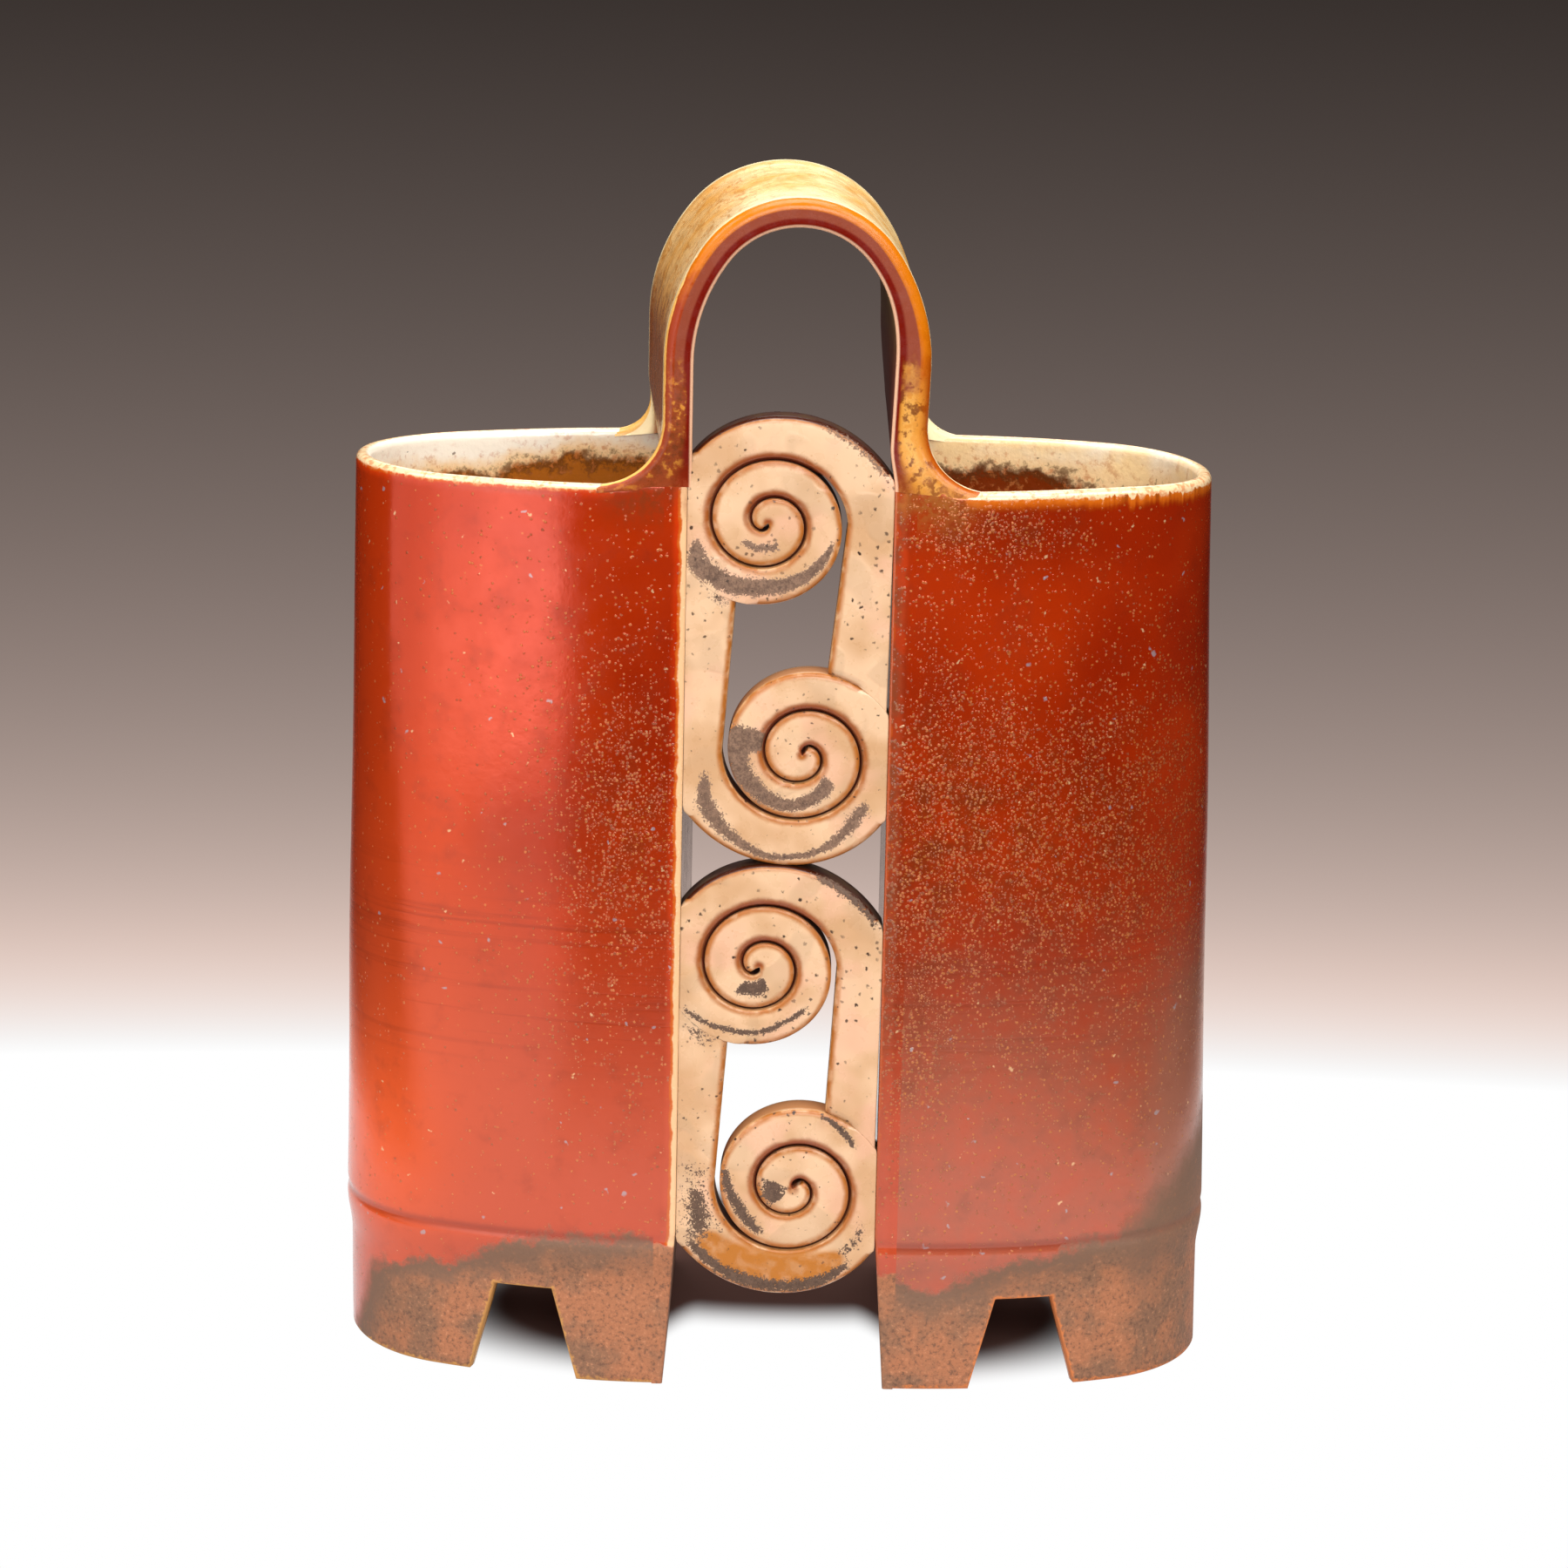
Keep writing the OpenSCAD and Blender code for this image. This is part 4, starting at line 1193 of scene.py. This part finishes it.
# table: brightness falls with the distance, and seen rays get that colour as it is;
# the patch under the vase takes light and shadow, and glossy rays find it darker to the sides
def makeTableCloth():
    look = tableLook
    material, b, shader, at = newGlaze("paleTable", look, perMetre=1)
    x, y = b.split(at)[:2]
    straight, seen = b.seenRays()

    def reach(a, c):
        return b.calc("SQRT", a * a + c * c)

    pool = look["pool"] / (reach(x * look["narrow"], y) - look["near"]).most(0.05)
    aside = abs(x) - y.most(0) * 0.182
    sides = aside.step(0.42, 0.1, 0.05, 1) * y.step(-0.62, -0.34, 0.06, 1)
    # painted light: a patch on the lamps' side is kept bright, so that reflections show it as lamp light
    lampSide = (x * -1 + y * 0.42).step(-0.05, 0.08) * y.step(-0.12, -0.3) * x.step(-1.3, -0.8)
    lampSide = lampSide * reach(x, y).step(1, 0.55, 0.6, 1)
    pool = (pool * straight.most(sides.most(lampSide))).least(1).most(lampSide)
    colour = b.scaled(b.lay(pool.step(1, 0.5), "lit", "far"), pool)
    base = b.lay(seen, b.stretch(colour, "bounce"), b.stretch(colour, "shade"))
    b.feed(shader, {"Base Color": base, "Roughness": 0.9, "Specular IOR Level": 0})
    glow = b.put("Emission", {"Color": colour, "Strength": 1})
    middle = abs(x).step(0.025, 0.055, *look["behind"])
    away = reach(x / look["under"][0], (y - middle) / look["under"][1])
    mixed = b.put("MixShader", {0: seen * away.step(0.72, 1.15), 1: Wire(b, shader.outputs[0]), 2: glow})
    b.feed(material.node_tree.nodes["Material Output"], {"Surface": mixed})
    return material


tableMesh.materials.append(makeTableCloth())

# air: a little light from all round, dark where it is seen
airLook = {"light": (1, 0.97, 0.94, 1), "strength": 0.12, "seen": (0.03, 0.023, 0.02, 1)}
scene.world = bpy.data.worlds.new("studioAir")
scene.world.use_nodes = True
air = NodeBench(scene.world.node_tree, airLook)
airLight = air.put("Background", {"Color": "light", "Strength": "strength"})
airSeen = air.put("Background", {"Color": "seen", "Strength": 1})
air.feed(air.tree.nodes["World Output"],
         {"Surface": air.put("MixShader", {0: air.seenRays()[1], 1: airLight, 2: airSeen})})


# rectangular lamp that stands at a place and faces its aim
def softbox(name, at, aim, size, power):
    lamp = bpy.data.lights.new(name, "AREA")
    lamp.shape = "RECTANGLE"
    lamp.size, lamp.size_y = size
    lamp.energy = power
    box = bpy.data.objects.new(name, lamp)
    direction = np.array(aim) - np.array(at)
    back = -direction / np.linalg.norm(direction)
    sideways = np.cross((0, 0, 1), back)
    sideways /= np.linalg.norm(sideways)
    box.matrix_world = standing(at, sideways, np.cross(back, sideways), back)
    box.visible_camera = False
    scene.collection.objects.link(box)


# place, aim, size and power;
# three boxes on the left share their right edge, so that their light falls off leftwards
lamps = {
    "leftSoftbox": ((-0.682, -0.731, 0.5), (0, 0, 0.5), (0.69, 0.96), 1.7),
    "leftMiddleBox": ((-0.581, -0.814, 0.5), (0, 0, 0.5), (0.407, 0.96), 0.7),
    "leftStripBox": ((-0.522, -0.853, 0.5), (0, 0, 0.5), (0.263, 0.96), 0.4),
    "leftWing": ((-0.961, -0.276, 0.5), (0, 0, 0.5), (0.425, 0.96), 0.95),
    "highLeftSoftbox": ((-1, -0.35, 1.35), (0, 0, 0.15), (0.6, 0.6), 5.5),
    "backSoftbox": ((0, 1.2, 1.2), (0, 0, 0.2), (1.2, 0.8), 7),
    "frontSoftbox": ((0.2, -1.5, 0.85), (0, 0, 0.15), (1.1, 0.6), 15),
    "rightSoftbox": ((0.85, -0.75, 1.25), (0.05, 0, 0.15), (0.7, 0.7), 10),
    "topSoftbox": ((0, -0.2, 1.7), (0, 0, 0), (1.1, 1.1), 24),
}
for name, lamp in lamps.items():
    softbox(name, *lamp)
print("scene lit")
